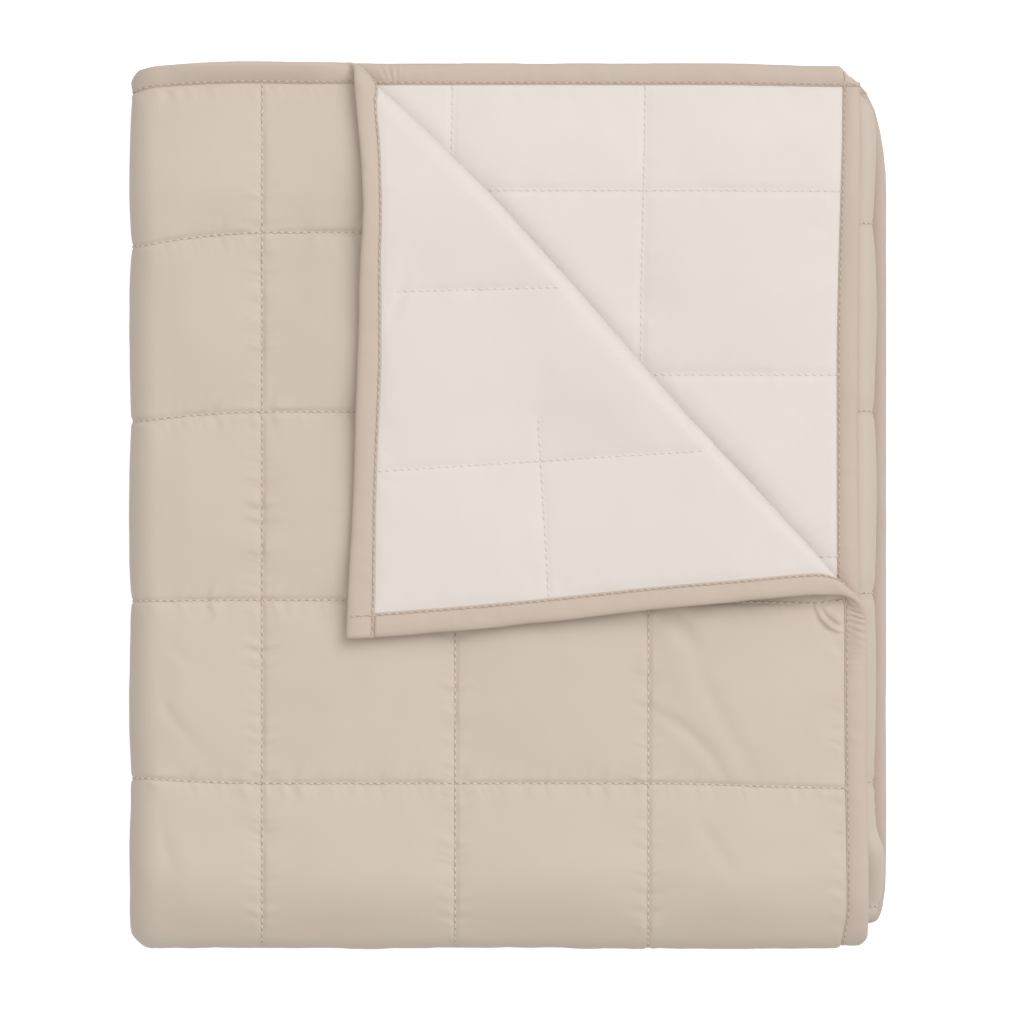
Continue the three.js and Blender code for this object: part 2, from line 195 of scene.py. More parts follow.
@dataclass(frozen=True)
class ThreadAndShadeFinish:
    """Spun polyester sewing thread: matt, a little paler than the cloth, with a twist along it. The same
    material, in darker colours, is painted shade on the gap pieces between stitches.
    """

    name: str
    colour: str
    shade: str
    roughness: float = 0.7
    twist_size: float = 0.5
    twist_depth: float = 0.05

    def build(self) -> Material:
        """Makes the material: a fine mottle that reads as the twist of the thread.

        Returns:
            The material.
        """
        material = new_material(self.name)
        node = partial(add_node, material.node_tree)
        place = node("ShaderNodeTexCoord").outputs["Object"]
        twist = node("ShaderNodeTexNoise", Vector=place, Scale=1.0 / (self.twist_size * MM))
        shade, colour = linear(self.shade), linear(self.colour)
        mixed = node("ShaderNodeMix", RGBA, Factor=twist, A=shade, B=colour).outputs["Result"]
        bump = node("ShaderNodeBump", Height=twist, Distance=self.twist_depth * MM)
        shader = node("ShaderNodeBsdfPrincipled", Base_Color=mixed, Normal=bump, Roughness=self.roughness)
        node("ShaderNodeOutputMaterial", Surface=shader)
        return material


FACE_CLOTH = ClothFinish("beige_microfibre_face", "#D2C4B6", "#CDBEAF")
REVERSE_CLOTH = ClothFinish("cream_microfibre_reverse", "#E5DDD7", "#E1D8D0")
BINDING_CLOTH = ClothFinish("beige_microfibre_binding", "#CDBDAE", "#C7B6A7")
FACE_THREAD = ThreadAndShadeFinish("beige_sewing_thread", "#DDD0C4", "#D3C5B7")
REVERSE_THREAD = ThreadAndShadeFinish("cream_sewing_thread", "#E5DDD7", "#E2DAD3")
BINDING_THREAD = ThreadAndShadeFinish("beige_edging_thread", "#D0C1B2", "#C6B6A6")
# Painted shade: these gap colours are darker than the cloth and colour pieces between the stitches that
# stand for the shade in the groove.
FACE_GAP_SHADE = ThreadAndShadeFinish("shaded_beige_stitch_gaps", "#B7A797", "#AE9D8D")
REVERSE_GAP_SHADE = ThreadAndShadeFinish("shaded_cream_stitch_gaps", "#E0D8D1", "#DCD4CC")
BINDING_GAP_SHADE = ThreadAndShadeFinish("shaded_edging_stitch_gaps", "#B6A696", "#AC9C8C")


def ramp(value: Array, start: float, end: float) -> Array:
    """Straight rise from 0 at start to 1 at end, which may lie to either side."""
    return np.clip((value - start) / (end - start), 0.0, 1.0)


def smooth(value: Array, start: float, end: float) -> Array:
    """Smooth rise from 0 at start to 1 at end, which may lie to either side."""
    share = ramp(value, start, end)
    return share * share * (3.0 - 2.0 * share)


def bell(value: Array, middle: float, reach: float) -> Array:
    """Soft bump of height 1, with reach as its half width."""
    return np.exp(-(((value - middle) / reach) ** 2))


def plateau(value: Array, first: float, last: float, ease: float) -> Array:
    """1 from first to last, fading to 0 over a length of ease beyond them."""
    return smooth(value, first - ease, first) * (1.0 - smooth(value, last, last + ease))


@dataclass(frozen=True)
class Flat:
    """Points of the flat sheet: lengths along it, and distances across it."""

    a: Array
    b: Array

    def chosen(self, rows: Array) -> "Flat":
        """The points of some rows."""
        return Flat(self.a[rows], self.b[rows])


@dataclass(frozen=True)
class Ramp:
    """A rise from 0 at its start to 1 at its end, which may lie to either side."""

    start: float
    end: float

    def straight(self, value: Array) -> Array:
        """The straight rise at each value."""
        return ramp(value, self.start, self.end)

    def at(self, value: Array) -> Array:
        """The smooth rise at each value."""
        return smooth(value, self.start, self.end)

    def arc(self, value: Array) -> Array:
        """The rise of a quarter circle at each value."""
        return 1.0 - np.sqrt(1.0 - self.straight(value) ** 2)


@dataclass(frozen=True)
class Bump:
    """A soft bump along a line."""

    height: float
    middle: float
    reach: float

    def at(self, value: Array) -> Array:
        """The bump's height at each value."""
        return self.height * bell(value, self.middle, self.reach)


@dataclass(frozen=True)
class Course:
    """A line that is drawn through values at given places."""

    places: tuple[float, ...]
    values: tuple[float, ...]

    def at(self, place: Array) -> Array:
        """The value at each place."""
        return np.interp(place, self.places, self.values)


@dataclass(frozen=True)
class Corner:
    """A square corner of the pack in plan, and the radius that it is rounded by."""

    x: float
    y: float
    radius: float
    # Cloth that bulges past the corner counts as at most this many radii from the start.
    limit: float = 1.2

    def moves(self, x: Array, y: Array) -> Pair:
        """How points move so that the corner becomes a quarter of a circle.

        Args:
            x: plan positions.
            y: plan positions.

        Returns:
            The moves along x and along y, both towards the middle of the pack.
        """
        inward_x, inward_y = -math.copysign(1.0, self.x), -math.copysign(1.0, self.y)
        u = np.clip(1.0 + (self.x - x) * inward_x / self.radius, 0.0, self.limit)
        v = np.clip(1.0 + (self.y - y) * inward_y / self.radius, 0.0, self.limit)
        move_x = inward_x * self.radius * u * (1.0 - np.sqrt(1.0 - v * v / 2))
        move_y = inward_y * self.radius * v * (1.0 - np.sqrt(1.0 - u * u / 2))
        return move_x, move_y


@dataclass(frozen=True)
class PackSizes:
    """Sizes of the pack and of the sheet that it is folded from."""

    pitch: float = 10.5
    panel_from: tuple[float, ...] = (236.3, -230.0, 223.2, -229.0)
    panel_to: tuple[float, ...] = (-230.0, 223.2, -229.0, 249.2)
    open_edge: float = 292.0
    hairpin_start: float = -284.6
    floor_layer: float = 4.5
    settle_length: float = 90.0
    open_edge_settle: float = 0.78
    bound_end_settle: float = 0.62
    bound_end_droop: float = 1.5

    @property
    def half_pitch(self) -> float:
        """Half the distance between layers."""
        return self.pitch / 2

    @property
    def turn_length(self) -> float:
        """Length of the sheet's middle in a turn from one panel to the next."""
        return math.pi * self.pitch

    @property
    def hairpin_length(self) -> float:
        """Length of the sheet's middle in the fold across its width."""
        return math.pi * self.half_pitch

    @property
    def arm_length(self) -> float:
        """Width of the sheet from an open edge to the fold across it."""
        return self.open_edge - self.hairpin_start

    @property
    def second_start(self) -> float:
        """Distance across the sheet where the lower of a panel's two layers starts."""
        return self.arm_length + self.hairpin_length

    @property
    def half_fold(self) -> Two:
        """Distances across the sheet where its fold in half starts and ends."""
        return self.arm_length, self.second_start

    @property
    def sheet_width(self) -> float:
        """Width of the flat sheet."""
        return 2 * self.arm_length + self.hairpin_length

    @property
    def panel_lengths(self) -> list[float]:
        """Length of each panel, from the top one down."""
        return [abs(end - start) for start, end in zip(self.panel_from, self.panel_to)]

    @property
    def panel_starts(self) -> list[float]:
        """Length along the sheet where each panel starts.

        Returns:
            The lengths, from the top panel down.
        """
        starts = [0.0]
        for length in self.panel_lengths[:-1]:
            starts.append(starts[-1] + length + self.turn_length)
        return starts

    @property
    def turns(self) -> list[Two]:
        """Lengths along the sheet where each turn between two panels starts and ends."""
        ends = [start + length for start, length in zip(self.panel_starts, self.panel_lengths)]
        return [(end, end + self.turn_length) for end in ends[:-1]]

    @property
    def sheet_length(self) -> float:
        """Length of the flat sheet."""
        return self.panel_starts[-1] + self.panel_lengths[-1]

    @property
    def first_fold(self) -> float:
        """Length along the sheet where the top panel ends."""
        return self.panel_lengths[0]

    def panel_height(self, index: int) -> float:
        """Middle height of a panel's two layers, with panel 0 on top."""
        below = len(self.panel_from) - 1 - index
        return self.floor_layer + self.half_pitch + below * 2 * self.pitch


@dataclass(frozen=True)
class FlapSizes:
    """The turned-back corner: its fold, where its tip lies, and how its edges bow and lift.

    The eases are in lengths of the bend: where a bow starts and is full, past the start of the fold.
    """

    fold_front: Two = (-98.0, 292.0)
    fold_end: Two = (236.3, -67.2)
    tip: Two = (-106.9, -88.1)
    bend: float = 6.0
    flattened: float = 3.0
    padding_at_bend: float = 0.4
    bow_depth: float = 55.0
    fold_bow: Bump = Bump(4.6, 150.0, 120.0)
    side_bow: float = 3.6
    side_ease: Two = (1.0, 2.0)
    side_shifts: Course = Course(
        (143.0, 162.0, 181.0, 198.0, 228.0, 251.0, 268.0, 286.0),
        (0.0, 0.7, 1.9, 2.3, 0.7, -1.3, -2.3, -3.5),
    )
    side_shift_ease: Two = (0.0, 0.7)
    side_spreads: Course = Course(
        (-88.0, -62.0, -3.0, 29.0, 91.0, 136.0, 169.0, 198.0),
        (5.0, 4.8, 2.8, 2.4, 3.4, 2.5, 0.9, 0.0),
    )
    side_spread_width: float = 14.0
    hem_bows: tuple[Bump, ...] = (Bump(4.6, 140.0, 100.0), Bump(4.6, 208.0, 44.0), Bump(2.7, 115.0, 115.0))
    hem_ease: Two = (0.3, 1.2)
    side_lift: Bump = Bump(4.0, 195.0, 75.0)
    hem_lift: float = 2.2
    hem_lift_along: Ramp = Ramp(-40.0, 140.0)
    lift_depth: float = 34.0
    lift_ease: Two = (1.0, 3.0)
    middle_swell: float = 0.3
    middle_swell_depth: float = 40.0
    end_pinch: float = 0.4
    end_pinch_reach: float = 50.0


@dataclass(frozen=True)
class CornerSizes:
    """How the layers draw in, ease off and droop towards the pack's corners and folds."""

    near_right: Ramp = Ramp(100.0, 245.0)
    top_draw_in: float = 30.0
    top_round: Ramp = Ramp(206.0, 294.0)
    bottom_draw_in: float = 9.0
    bottom_round: Ramp = Ramp(-258.0, -293.0)
    end_flare: float = 1.3
    front_flare: float = 1.8
    front_flare_from: float = 0.7
    loop_flare: float = -1.2
    loop_low_flare: float = 5.5
    loop_low: Ramp = Ramp(-180.0, -215.0)
    loop_top: Ramp = Ramp(256.0, 288.0)
    loop_ease: float = 60.0
    loop_skew: float = 24.0
    loop_skew_ease: float = 180.0
    loop_skew_fade: float = 110.0
    second_setback: float = 3.6
    second_shift: float = 1.6
    second_lean: Ramp = Ramp(90.0, 290.0)
    second_lean_depth: float = 120.0
    second_edge_lean: float = 1.5
    second_seam_lean: float = 4.0
    second_column_lean: float = 3.3
    second_corner_along: float = 16.5
    second_corner_drop: float = 11.6
    second_corner_power: float = 1.6
    binding_width: float = 14.0
    open_edge_ease: float = 142.0
    folded_corner_drop: float = 5.0
    second_drop: float = 1.2
    under_drop: float = 2.2
    far_edge: Ramp = Ramp(130.0, 222.0)
    front_edge_bow: Bump = Bump(1.3, -185.0, 42.0)
    under_corner_drop: float = 6.0
    under_corner_x: Ramp = Ramp(226.0, 246.0)
    under_corner_y: Ramp = Ramp(268.0, 288.0)
    left_pull: Ramp = Ramp(-150.0, -240.0)
    left_pulls: Course = Course(
        (-290.0, -183.0, -62.0, 62.0, 180.0, 270.0, 292.0), (0.0, 3.3, -0.7, -6.0, -8.6, -2.6, -2.8),
    )
    right_pull: Ramp = Ramp(90.0, 230.0)
    right_pulls: Course = Course((-290.0, -183.0, -62.0, 62.0), (0.0, -3.3, -2.0, 0.0))
    fold_hold: float = 14.0
    bottom_pull: float = 1.0
    bottom_pull_from: Ramp = Ramp(-230.0, -293.0)
    under_lift: float = 15.0
    under_lift_x: Ramp = Ramp(150.0, 230.0)
    under_lift_y: Ramp = Ramp(-180.0, -290.0)
    under_press: float = 0.35
    left_droop: float = 0.12675
    left_droop_x: Ramp = Ramp(-125.0, -287.5)
    bottom_droop: float = 0.338
    bottom_droop_y: Ramp = Ramp(-236.0, -303.6)
    edge_curl: float = 6.0
    edge_curl_start: Ramp = Ramp(338.0, 375.0)
    edge_curl_end: Ramp = Ramp(440.0, 480.0)
    left_corners: tuple[Corner, ...] = (Corner(-249.5, -293.6, 14.5), Corner(-249.5, 292.0, 6.5))
    end_corner: Corner = Corner(238.0, -291.0, 5.5)
    end_low: Ramp = Ramp(-264.0, -291.0)
    end_low_lift: float = 1.4
    end_low_lift_from: Ramp = Ramp(218.0, 230.0)
    end_seam_bow: Bump = Bump(3.2, 222.0, 12.0)


class FoldedSheet:
    """Folds points of the flat sheet into the pack."""

    def __init__(self, pack: PackSizes, flap: FlapSizes, corners: CornerSizes) -> None:
        """Works out the fold of the turned-back corner.

        Args:
            pack: sizes of the pack.
            flap: sizes of the turned-back corner.
            corners: how the corners ease off.
        """
        self.pack = pack
        self.flap = flap
        self.corners = corners
        self.bend_length = math.pi * flap.bend
        self.fold_length = math.dist(flap.fold_front, flap.fold_end)
        self.along = (np.array(flap.fold_end) - np.array(flap.fold_front)) / self.fold_length
        self.across = np.array([-self.along[1], self.along[0]])
        self.fold_start = np.array(flap.fold_front) - (flap.bend + flap.flattened) * self.across
        corner = np.array([pack.panel_from[0], pack.open_edge]) - self.fold_start
        tip = np.array(flap.tip) - self.fold_start
        reach = -float(tip @ self.across)
        self.stretch = (reach + self.bend_length) / float(corner @ self.across)
        self.shear = float((tip - corner) @ self.along) / reach

    def path(self, a: Array) -> tuple[Array, Array, Array, Array]:
        """The to-and-fro path of the folded length.

        Args:
            a: lengths along the sheet.

        Returns:
            x and z of the path, and x and z of its normal.
        """
        pack = self.pack
        x, z, nx, nz = (np.zeros_like(a) for _ in range(4))
        for i, start in enumerate(pack.panel_starts):
            heading = math.copysign(1.0, pack.panel_to[i] - pack.panel_from[i])
            facing = 1.0 if i % 2 == 0 else -1.0
            here = a >= start if i else np.ones(a.shape, bool)
            x[here] = pack.panel_from[i] + heading * (a[here] - start)
            z[here] = pack.panel_height(i)
            nx[here] = 0.0
            nz[here] = facing
            if i == len(pack.turns):
                break
            turn_start, _ = pack.turns[i]
            turn = a > turn_start
            angle = (a[turn] - turn_start) / pack.pitch
            x[turn] = pack.panel_to[i] + heading * pack.pitch * np.sin(angle)
            z[turn] = pack.panel_height(i) - pack.pitch + pack.pitch * np.cos(angle)
            nx[turn] = facing * heading * np.sin(angle)
            nz[turn] = facing * np.cos(angle)
        return x, z, nx, nz

    def hairpin(self, b: Array) -> tuple[Array, Array, Array, Array]:
        """The fold of the sheet in half across its width.

        Args:
            b: distances across the sheet from the front edge.

        Returns:
            y and height over the path, and y and height of the normal.
        """
        pack = self.pack
        angle = np.clip((b - pack.arm_length) / pack.half_pitch, 0.0, math.pi)
        before = np.maximum(pack.arm_length - b, 0.0)
        after = np.maximum(b - pack.second_start, 0.0)
        y = pack.hairpin_start + before + after - pack.half_pitch * np.sin(angle)
        return y, pack.half_pitch * np.cos(angle), -np.sin(angle), np.cos(angle)

    def settle_share(self, distance: Array, share: float) -> Array:
        """What is left of the layer pitch at a distance from an edge, where share is left at the edge."""
        return share + (1.0 - share) * smooth(distance, 0.0, self.pack.settle_length)

    def settled_height(self, z: Array, a: Array, y: Array, over: Array) -> Array:
        """Height of a layer's middle once the layers have settled towards their thin edges.

        Args:
            z: heights before settling.
            a: lengths along the sheet.
            y: positions across the pack.
            over: heights over the path's middle.

        Returns:
            The settled heights.
        """
        pack = self.pack
        opened = self.settle_share(pack.open_edge - y, pack.open_edge_settle)
        top_end = np.minimum(opened, self.settle_share(a, pack.bound_end_settle))
        under_end = np.minimum(opened, self.settle_share(pack.sheet_length - a, pack.bound_end_settle))
        upper = (over + pack.half_pitch) / pack.pitch
        sunk = (opened - top_end) * upper + (opened - under_end) * (1.0 - upper)
        droop = pack.bound_end_droop * (1.0 - smooth(a, 0.0, pack.settle_length))
        return pack.floor_layer + (z - pack.floor_layer) * opened - pack.pitch * sunk - droop

    def from_fold(self, x: Array, y: Array) -> Pair:
        """Distances of plan positions along the corner's fold, and beyond it."""
        off = np.column_stack([x, y]) - self.fold_start
        return off @ self.along, off @ self.across

    def to_plan(self, along: Array, beyond: Array) -> Pair:
        """x and y of places at distances along the corner's fold, and beyond it."""
        x, y = (self.fold_start + np.outer(along, self.along) + np.outer(beyond, self.across)).T
        return x, y

    def fold_coordinates(self, at: Flat) -> Pair:
        """Distances of points along the corner's fold, and lengths of sheet past its start."""
        along, beyond = self.from_fold(self.pack.panel_from[0] - at.a, self.pack.open_edge - at.b)
        return along, self.stretch * beyond

    def beyond_fold(self, at: Flat) -> Array:
        """How far points of the top panel's two layers lie beyond the fold of the corner, in plan."""
        y, _, _, _ = self.hairpin(at.b)
        return self.from_fold(self.pack.panel_from[0] - at.a, y)[1]

    def is_upper(self, at: Flat) -> Array:
        """True on the upper layer of the top panel, with its corner."""
        return (at.a < self.pack.first_fold) & (at.b < self.pack.arm_length)

    def is_second(self, at: Flat) -> Array:
        """True on the second layer, under the upper one."""
        _, over, _, _ = self.hairpin(at.b)
        return (at.a < self.pack.first_fold) & (over < 0)

    def is_turned_back(self, at: Flat) -> Array:
        """True where the corner of the upper layer is turned back."""
        _, past = self.fold_coordinates(at)
        return self.is_upper(at) & (past > 0.0)

    def in_bends(self, past: Array, shares: Two) -> Array:
        """Smooth rise past the fold's start, between two shares of the bend's length."""
        return smooth(past, shares[0] * self.bend_length, shares[1] * self.bend_length)

    def flap_plan(self, at: Flat) -> Pair:
        """Plan position of points that lie on the flap.

        Args:
            at: flat points.

        Returns:
            x and y in the pack.
        """
        along, past = self.fold_coordinates(at)
        lying = past - self.bend_length
        x, y = self.to_plan(along + self.shear * lying, -lying)
        return self.bow_flap(x, y, at)

    def fold_bow(self, at: Flat) -> Array:
        """How far each point moves across the corner's fold, which bows out of a straight line."""
        along, past = self.fold_coordinates(at)
        return self.flap.fold_bow.at(along) * bell(past, self.bend_length / 2, self.flap.bow_depth)

    def bow_flap(self, x: Array, y: Array, at: Flat) -> Pair:
        """Bows the flap's fold, its side and its hem as loosely as cloth lies.

        Args:
            x: plan positions before bowing.
            y: plan positions before bowing.
            at: flat points.

        Returns:
            The bowed x and y.
        """
        flap, width = self.flap, self.flap.side_spread_width
        _, past = self.fold_coordinates(at)
        lying = self.in_bends(past, flap.side_ease)
        by_side = np.exp(-at.b / flap.bow_depth)
        side = flap.side_bow * np.sin(math.pi * ramp(y, self.pack.open_edge, flap.tip[1])) * by_side * lying
        side = side + flap.side_shifts.at(y) * by_side * self.in_bends(past, flap.side_shift_ease)
        inside = ramp(at.b, 0.0, width) * np.exp(-np.maximum(at.b - width, 0.0) / flap.bow_depth)
        side = side + flap.side_spreads.at(y) * inside * lying
        hem = sum(bow.at(x) for bow in flap.hem_bows)
        hem = hem * np.exp(-at.a / flap.bow_depth) * self.in_bends(past, flap.hem_ease)
        bow = self.fold_bow(at)
        return x + bow * self.across[0] + side, y + bow * self.across[1] + hem

    def place_on_flap(self, at: Flat, n: Array) -> Array:
        """Folds points of the turned-back corner.

        Args:
            at: flat points.
            n: heights over the sheet's middle.

        Returns:
            One row of x, y and z for each point.
        """
        pack, flap = self.pack, self.flap
        along, past = self.fold_coordinates(at)
        angle = np.minimum(past / flap.bend, math.pi)
        radius = flap.bend - n
        bend_x, bend_y = self.bow_flap(*self.to_plan(along, radius * np.sin(angle)), at)
        flat_x, flat_y = self.flap_plan(at)
        lying = past >= self.bend_length
        x = np.where(lying, flat_x, bend_x)
        y = np.where(lying, flat_y, bend_y)
        top = np.full_like(x, pack.panel_height(0) + pack.half_pitch)
        below = self.settled_height(top, pack.panel_from[0] - x, y, np.full_like(x, pack.half_pitch))
        swell = 1.0 + self.flap_swell(along, past) * (1.0 - np.cos(angle)) / 2
        lift = flap.side_lift.at(y) * np.exp(-at.b / flap.lift_depth)
        lift = lift + flap.hem_lift * flap.hem_lift_along.at(x) * np.exp(-at.a / flap.lift_depth)
        lift = lift * self.in_bends(past, flap.lift_ease)
        z = below + (flap.bend - radius * np.cos(angle)) * swell + lift
        return np.column_stack([x, y, z])

    def flap_swell(self, along: Array, past: Array) -> Array:
        """How much more than its bend the flap stands up along its fold, and how it is pinched at the end.

        Args:
            along: distances along the fold.
            past: lengths of sheet past the fold's start.

        Returns:
            The share that the height grows by.
        """
        flap, length = self.flap, self.fold_length
        near_fold = bell(np.maximum(past - self.bend_length, 0.0), 0.0, flap.middle_swell_depth)
        swell = flap.middle_swell * near_fold * bell(along, length / 2, length / 3)
        return swell - flap.end_pinch * smooth(along, length - flap.end_pinch_reach, length)

    def loop_share(self, a: Array, ease: float) -> Array:
        """How far points lie on the loop that shows at the right of the pack, 0 to 1."""
        return plateau(a, *self.pack.turns[1], ease)

    def layer_shares(self, at: Flat) -> tuple[Array, Array, Array]:
        """How far points lie on the front, on the second layer and under the top panel, each 0 to 1.

        Args:
            at: flat points.

        Returns:
            The three shares at each point.
        """
        pack = self.pack
        under = smooth(at.a, *pack.turns[0])
        front = (1.0 - under) * (1.0 - smooth(at.b, *pack.half_fold))
        second = (1.0 - under) * smooth(at.b, pack.second_start, pack.sheet_width - pack.arm_length / 2)
        return front, second, under

    def draw_in(self, x: Array, y: Array, at: Flat) -> Array:
        """How far points at the right move in, and the second layer's end leans out of square.

        Args:
            x: positions before easing.
            y: positions before easing.
            at: flat points.

        Returns:
            The distance that each point moves towards the left.
        """
        pack, sizes = self.pack, self.corners
        front, second, under = self.layer_shares(at)
        loop = self.loop_share(at.a, sizes.loop_ease)
        rounded = sizes.top_draw_in * sizes.top_round.arc(y) * (1.0 - loop * (1.0 - sizes.loop_top.at(y)))
        rounded = rounded + sizes.bottom_draw_in * sizes.bottom_round.arc(y)
        flare_start = sizes.front_flare_from * pack.arm_length
        flare = sizes.front_flare * front * smooth(at.b, flare_start, pack.arm_length)
        flare = flare + loop * (sizes.loop_flare + sizes.loop_low_flare * sizes.loop_low.at(y))
        moved = under * (rounded - sizes.end_flare) + second * sizes.second_setback - flare
        lean = sizes.second_lean.at(y)
        inner = ramp(at.a, 0.0, sizes.binding_width)
        far = smooth(at.a, sizes.binding_width, sizes.second_lean_depth)
        near_edge = sizes.second_edge_lean + (sizes.second_seam_lean - sizes.second_edge_lean) * inner
        slant = far * sizes.second_column_lean * (1.0 - lean) - (1.0 - far) * near_edge * lean
        return sizes.near_right.at(x) * moved + second * (sizes.second_shift + slant)

    def open_edge_drop(self, x: Array, y: Array, at: Flat) -> Array:
        """How far the open edges fall back from the top of the pack.

        Args:
            x: positions before easing.
            y: positions before easing.
            at: flat points.

        Returns:
            The distance that each point moves down in plan.
        """
        pack, sizes = self.pack, self.corners
        front, second, under = self.layer_shares(at)
        outer = ramp(at.b, pack.sheet_width - sizes.binding_width, pack.sheet_width)
        from_corner = ramp(at.a, 0.0, sizes.second_corner_along) ** sizes.second_corner_power
        drop = second * outer * sizes.second_corner_drop * (1.0 - from_corner)
        past_fold = ramp(x, pack.panel_to[0], pack.panel_to[0] - 2 * pack.pitch)
        drop = drop + sizes.folded_corner_drop * past_fold * past_fold
        drop = drop + sizes.far_edge.at(x) * (second * sizes.second_drop + under * sizes.under_drop)
        drop = drop - front * sizes.front_edge_bow.at(x)
        return drop * smooth(y, pack.open_edge - sizes.open_edge_ease, pack.open_edge)

    def row_pull(self, x: Array, y: Array, at: Flat) -> Array:
        """How far the stitch rows are pulled out of line at the folds and at the right.

        Args:
            x: positions before easing.
            y: positions before easing.
            at: flat points.

        Returns:
            The distance that each point moves up in plan.
        """
        pack, sizes = self.pack, self.corners
        front, _, under = self.layer_shares(at)
        _, past = self.fold_coordinates(at)
        pull = sizes.left_pull.straight(x) ** 2 * sizes.left_pulls.at(y)
        free = np.where(front > 0, smooth(-past, 0.0, sizes.fold_hold), 1.0)
        pull = pull + free * sizes.right_pull.at(x) * sizes.right_pulls.at(y)
        pull = pull + sizes.bottom_pull * sizes.bottom_pull_from.at(y)
        skew = smooth(pack.open_edge - y, 0.0, sizes.loop_skew_fade)
        skew = skew * smooth(y - pack.hairpin_start, 0.0, sizes.loop_skew_fade)
        pull = pull - sizes.loop_skew * skew * self.loop_share(at.a, sizes.loop_skew_ease)
        corner = sizes.under_corner_x.at(x) * sizes.under_corner_y.at(y)
        return pull - under * corner * sizes.under_corner_drop

    def ease(self, point: Array, at: Flat) -> Array:
        """Eases the corners, pulls the stitch rows, and lets the layers droop towards the folds.

        Args:
            point: places in the pack.
            at: flat points.

        Returns:
            The eased places.
        """
        sizes = self.corners
        x, y, z = point.T
        front, _, under = self.layer_shares(at)
        low_right = under * sizes.under_lift_x.at(x) * sizes.under_lift_y.at(y)
        curl = sizes.edge_curl_start.at(at.a) * (1.0 - sizes.edge_curl_end.at(at.a))
        curl = curl * front * ramp(at.b, sizes.binding_width, 0.0)
        eased_x = x - self.draw_in(x, y, at)
        eased_y = y - self.open_edge_drop(x, y, at) + self.row_pull(x, y, at) + sizes.under_lift * low_right
        droop = sizes.left_droop * sizes.left_droop_x.straight(x) ** 2
        droop = droop + sizes.bottom_droop * sizes.bottom_droop_y.straight(y) ** 2
        eased_z = z * (1.0 - droop) * (1.0 - sizes.under_press * low_right) + sizes.edge_curl * curl
        for corner in sizes.left_corners:
            move_x, move_y = corner.moves(x, y)
            eased_x = eased_x + move_x
            eased_y = eased_y + move_y
        move_x, move_y = sizes.end_corner.moves(x, y)
        low_end = sizes.end_low.at(y)
        eased_x = eased_x + (1.0 - under) * (move_x - low_end * sizes.end_seam_bow.at(x))
        lift = sizes.end_low_lift * sizes.end_low_lift_from.at(x)
        eased_y = eased_y + (1.0 - under) * (move_y + low_end * lift)
        return np.column_stack([eased_x, eased_y, np.maximum(eased_z, 0.0)])

    def place(self, at: Flat, n: Array) -> Array:
        """Folds flat points into the pack.

        Args:
            at: flat points.
            n: heights over the sheet's middle.

        Returns:
            One row of x, y and z for each point, in millimetres.
        """
        x, z, nx, nz = self.path(at.a)
        y, over, ny, n_over = self.hairpin(at.b)
        middle = self.settled_height(z + nz * over, at.a, y, over)
        raised = over + n * n_over
        point = np.column_stack([x + nx * raised, y + n * ny, middle + nz * n * n_over])
        point = self.ease(point, at)
        turned = self.is_turned_back(at)
        front = self.is_upper(at) & ~turned
        point[front, :2] += self.fold_bow(at.chosen(front))[:, None] * self.across
        if turned.any():
            point[turned] = self.place_on_flap(at.chosen(turned), n[turned])
        return point


@dataclass(frozen=True)
class QuiltingSizes:
    """Sizes of the padding, the stitch lines and the puckers beside them."""

    crown: float = 9.0
    stitched: float = 3.2
    bound_edge: float = 2.4
    seam: float = 14.0
    seam_ease: float = 5.2
    edge_inset: float = 1.8
    fullness: float = 0.7
    column_pitch: float = 127.3
    first_column: float = 143.9
    column_count: int = 14
    shown_columns: int = 3
    rows: tuple[float, ...] = (112.2, 230.3, 354.4, 475.2, 597.6, 722.0, 845.5, 964.0, 1085.5)
    shown_lift: float = 1.4
    reverse_share: float = 0.45
    flap_line_share: float = 0.8
    flap_pucker_share: float = 0.35
    pressed_by_fold: float = 0.85
    pressed_reach: float = 30.0
    turn_rise: float = 0.38
    turn_ease: float = 30.0
    groove: float = 1.15
    groove_width: float = 1.7
    pucker_height: float = 0.6
    pucker_spacing: float = 5.2
    pucker_reach: float = 7.0
    pucker_lean: float = 0.3
    fine_pucker_share: float = 0.5
    fine_pucker_rate: float = 2.1
    stitch_hold: float = 1.3
    gather_height: float = 0.4
    gather_spacing: float = 17.0
    gather_reach: float = 20.0
    unevenness: float = 0.35
    uneven_scale: float = 55.0
    crumple: float = 0.12
    crumple_scale: float = 13.0
    least_half: float = 0.5

    @property
    def columns(self) -> Array:
        """Stitch lines across the sheet, as lengths along it."""
        return self.first_column + self.column_pitch * np.arange(self.column_count)

    @property
    def square_half(self) -> float:
        """Half the width of a quilted square."""
        return self.column_pitch / 2


@dataclass(frozen=True)
class StitchLine:
    """A straight stitch line on the flap, as it lies in the pack."""

    x1: float
    y1: float
    x2: float
    y2: float

    @property
    def length(self) -> float:
        """Length of the line."""
        return math.hypot(self.x2 - self.x1, self.y2 - self.y1)

    def measure(self, x: Array, y: Array) -> Pair:
        """Distances of plan positions along the line from its start, and signed distances from it."""
        dx, dy = (self.x2 - self.x1) / self.length, (self.y2 - self.y1) / self.length
        return (x - self.x1) * dx + (y - self.y1) * dy, (x - self.x1) * dy - (y - self.y1) * dx

    def distance(self, x: Array, y: Array) -> Array:
        """Distance of plan positions from the line between its two ends."""
        along, off = self.measure(x, y)
        return np.hypot(off, np.maximum(0.0, np.maximum(-along, along - self.length)))


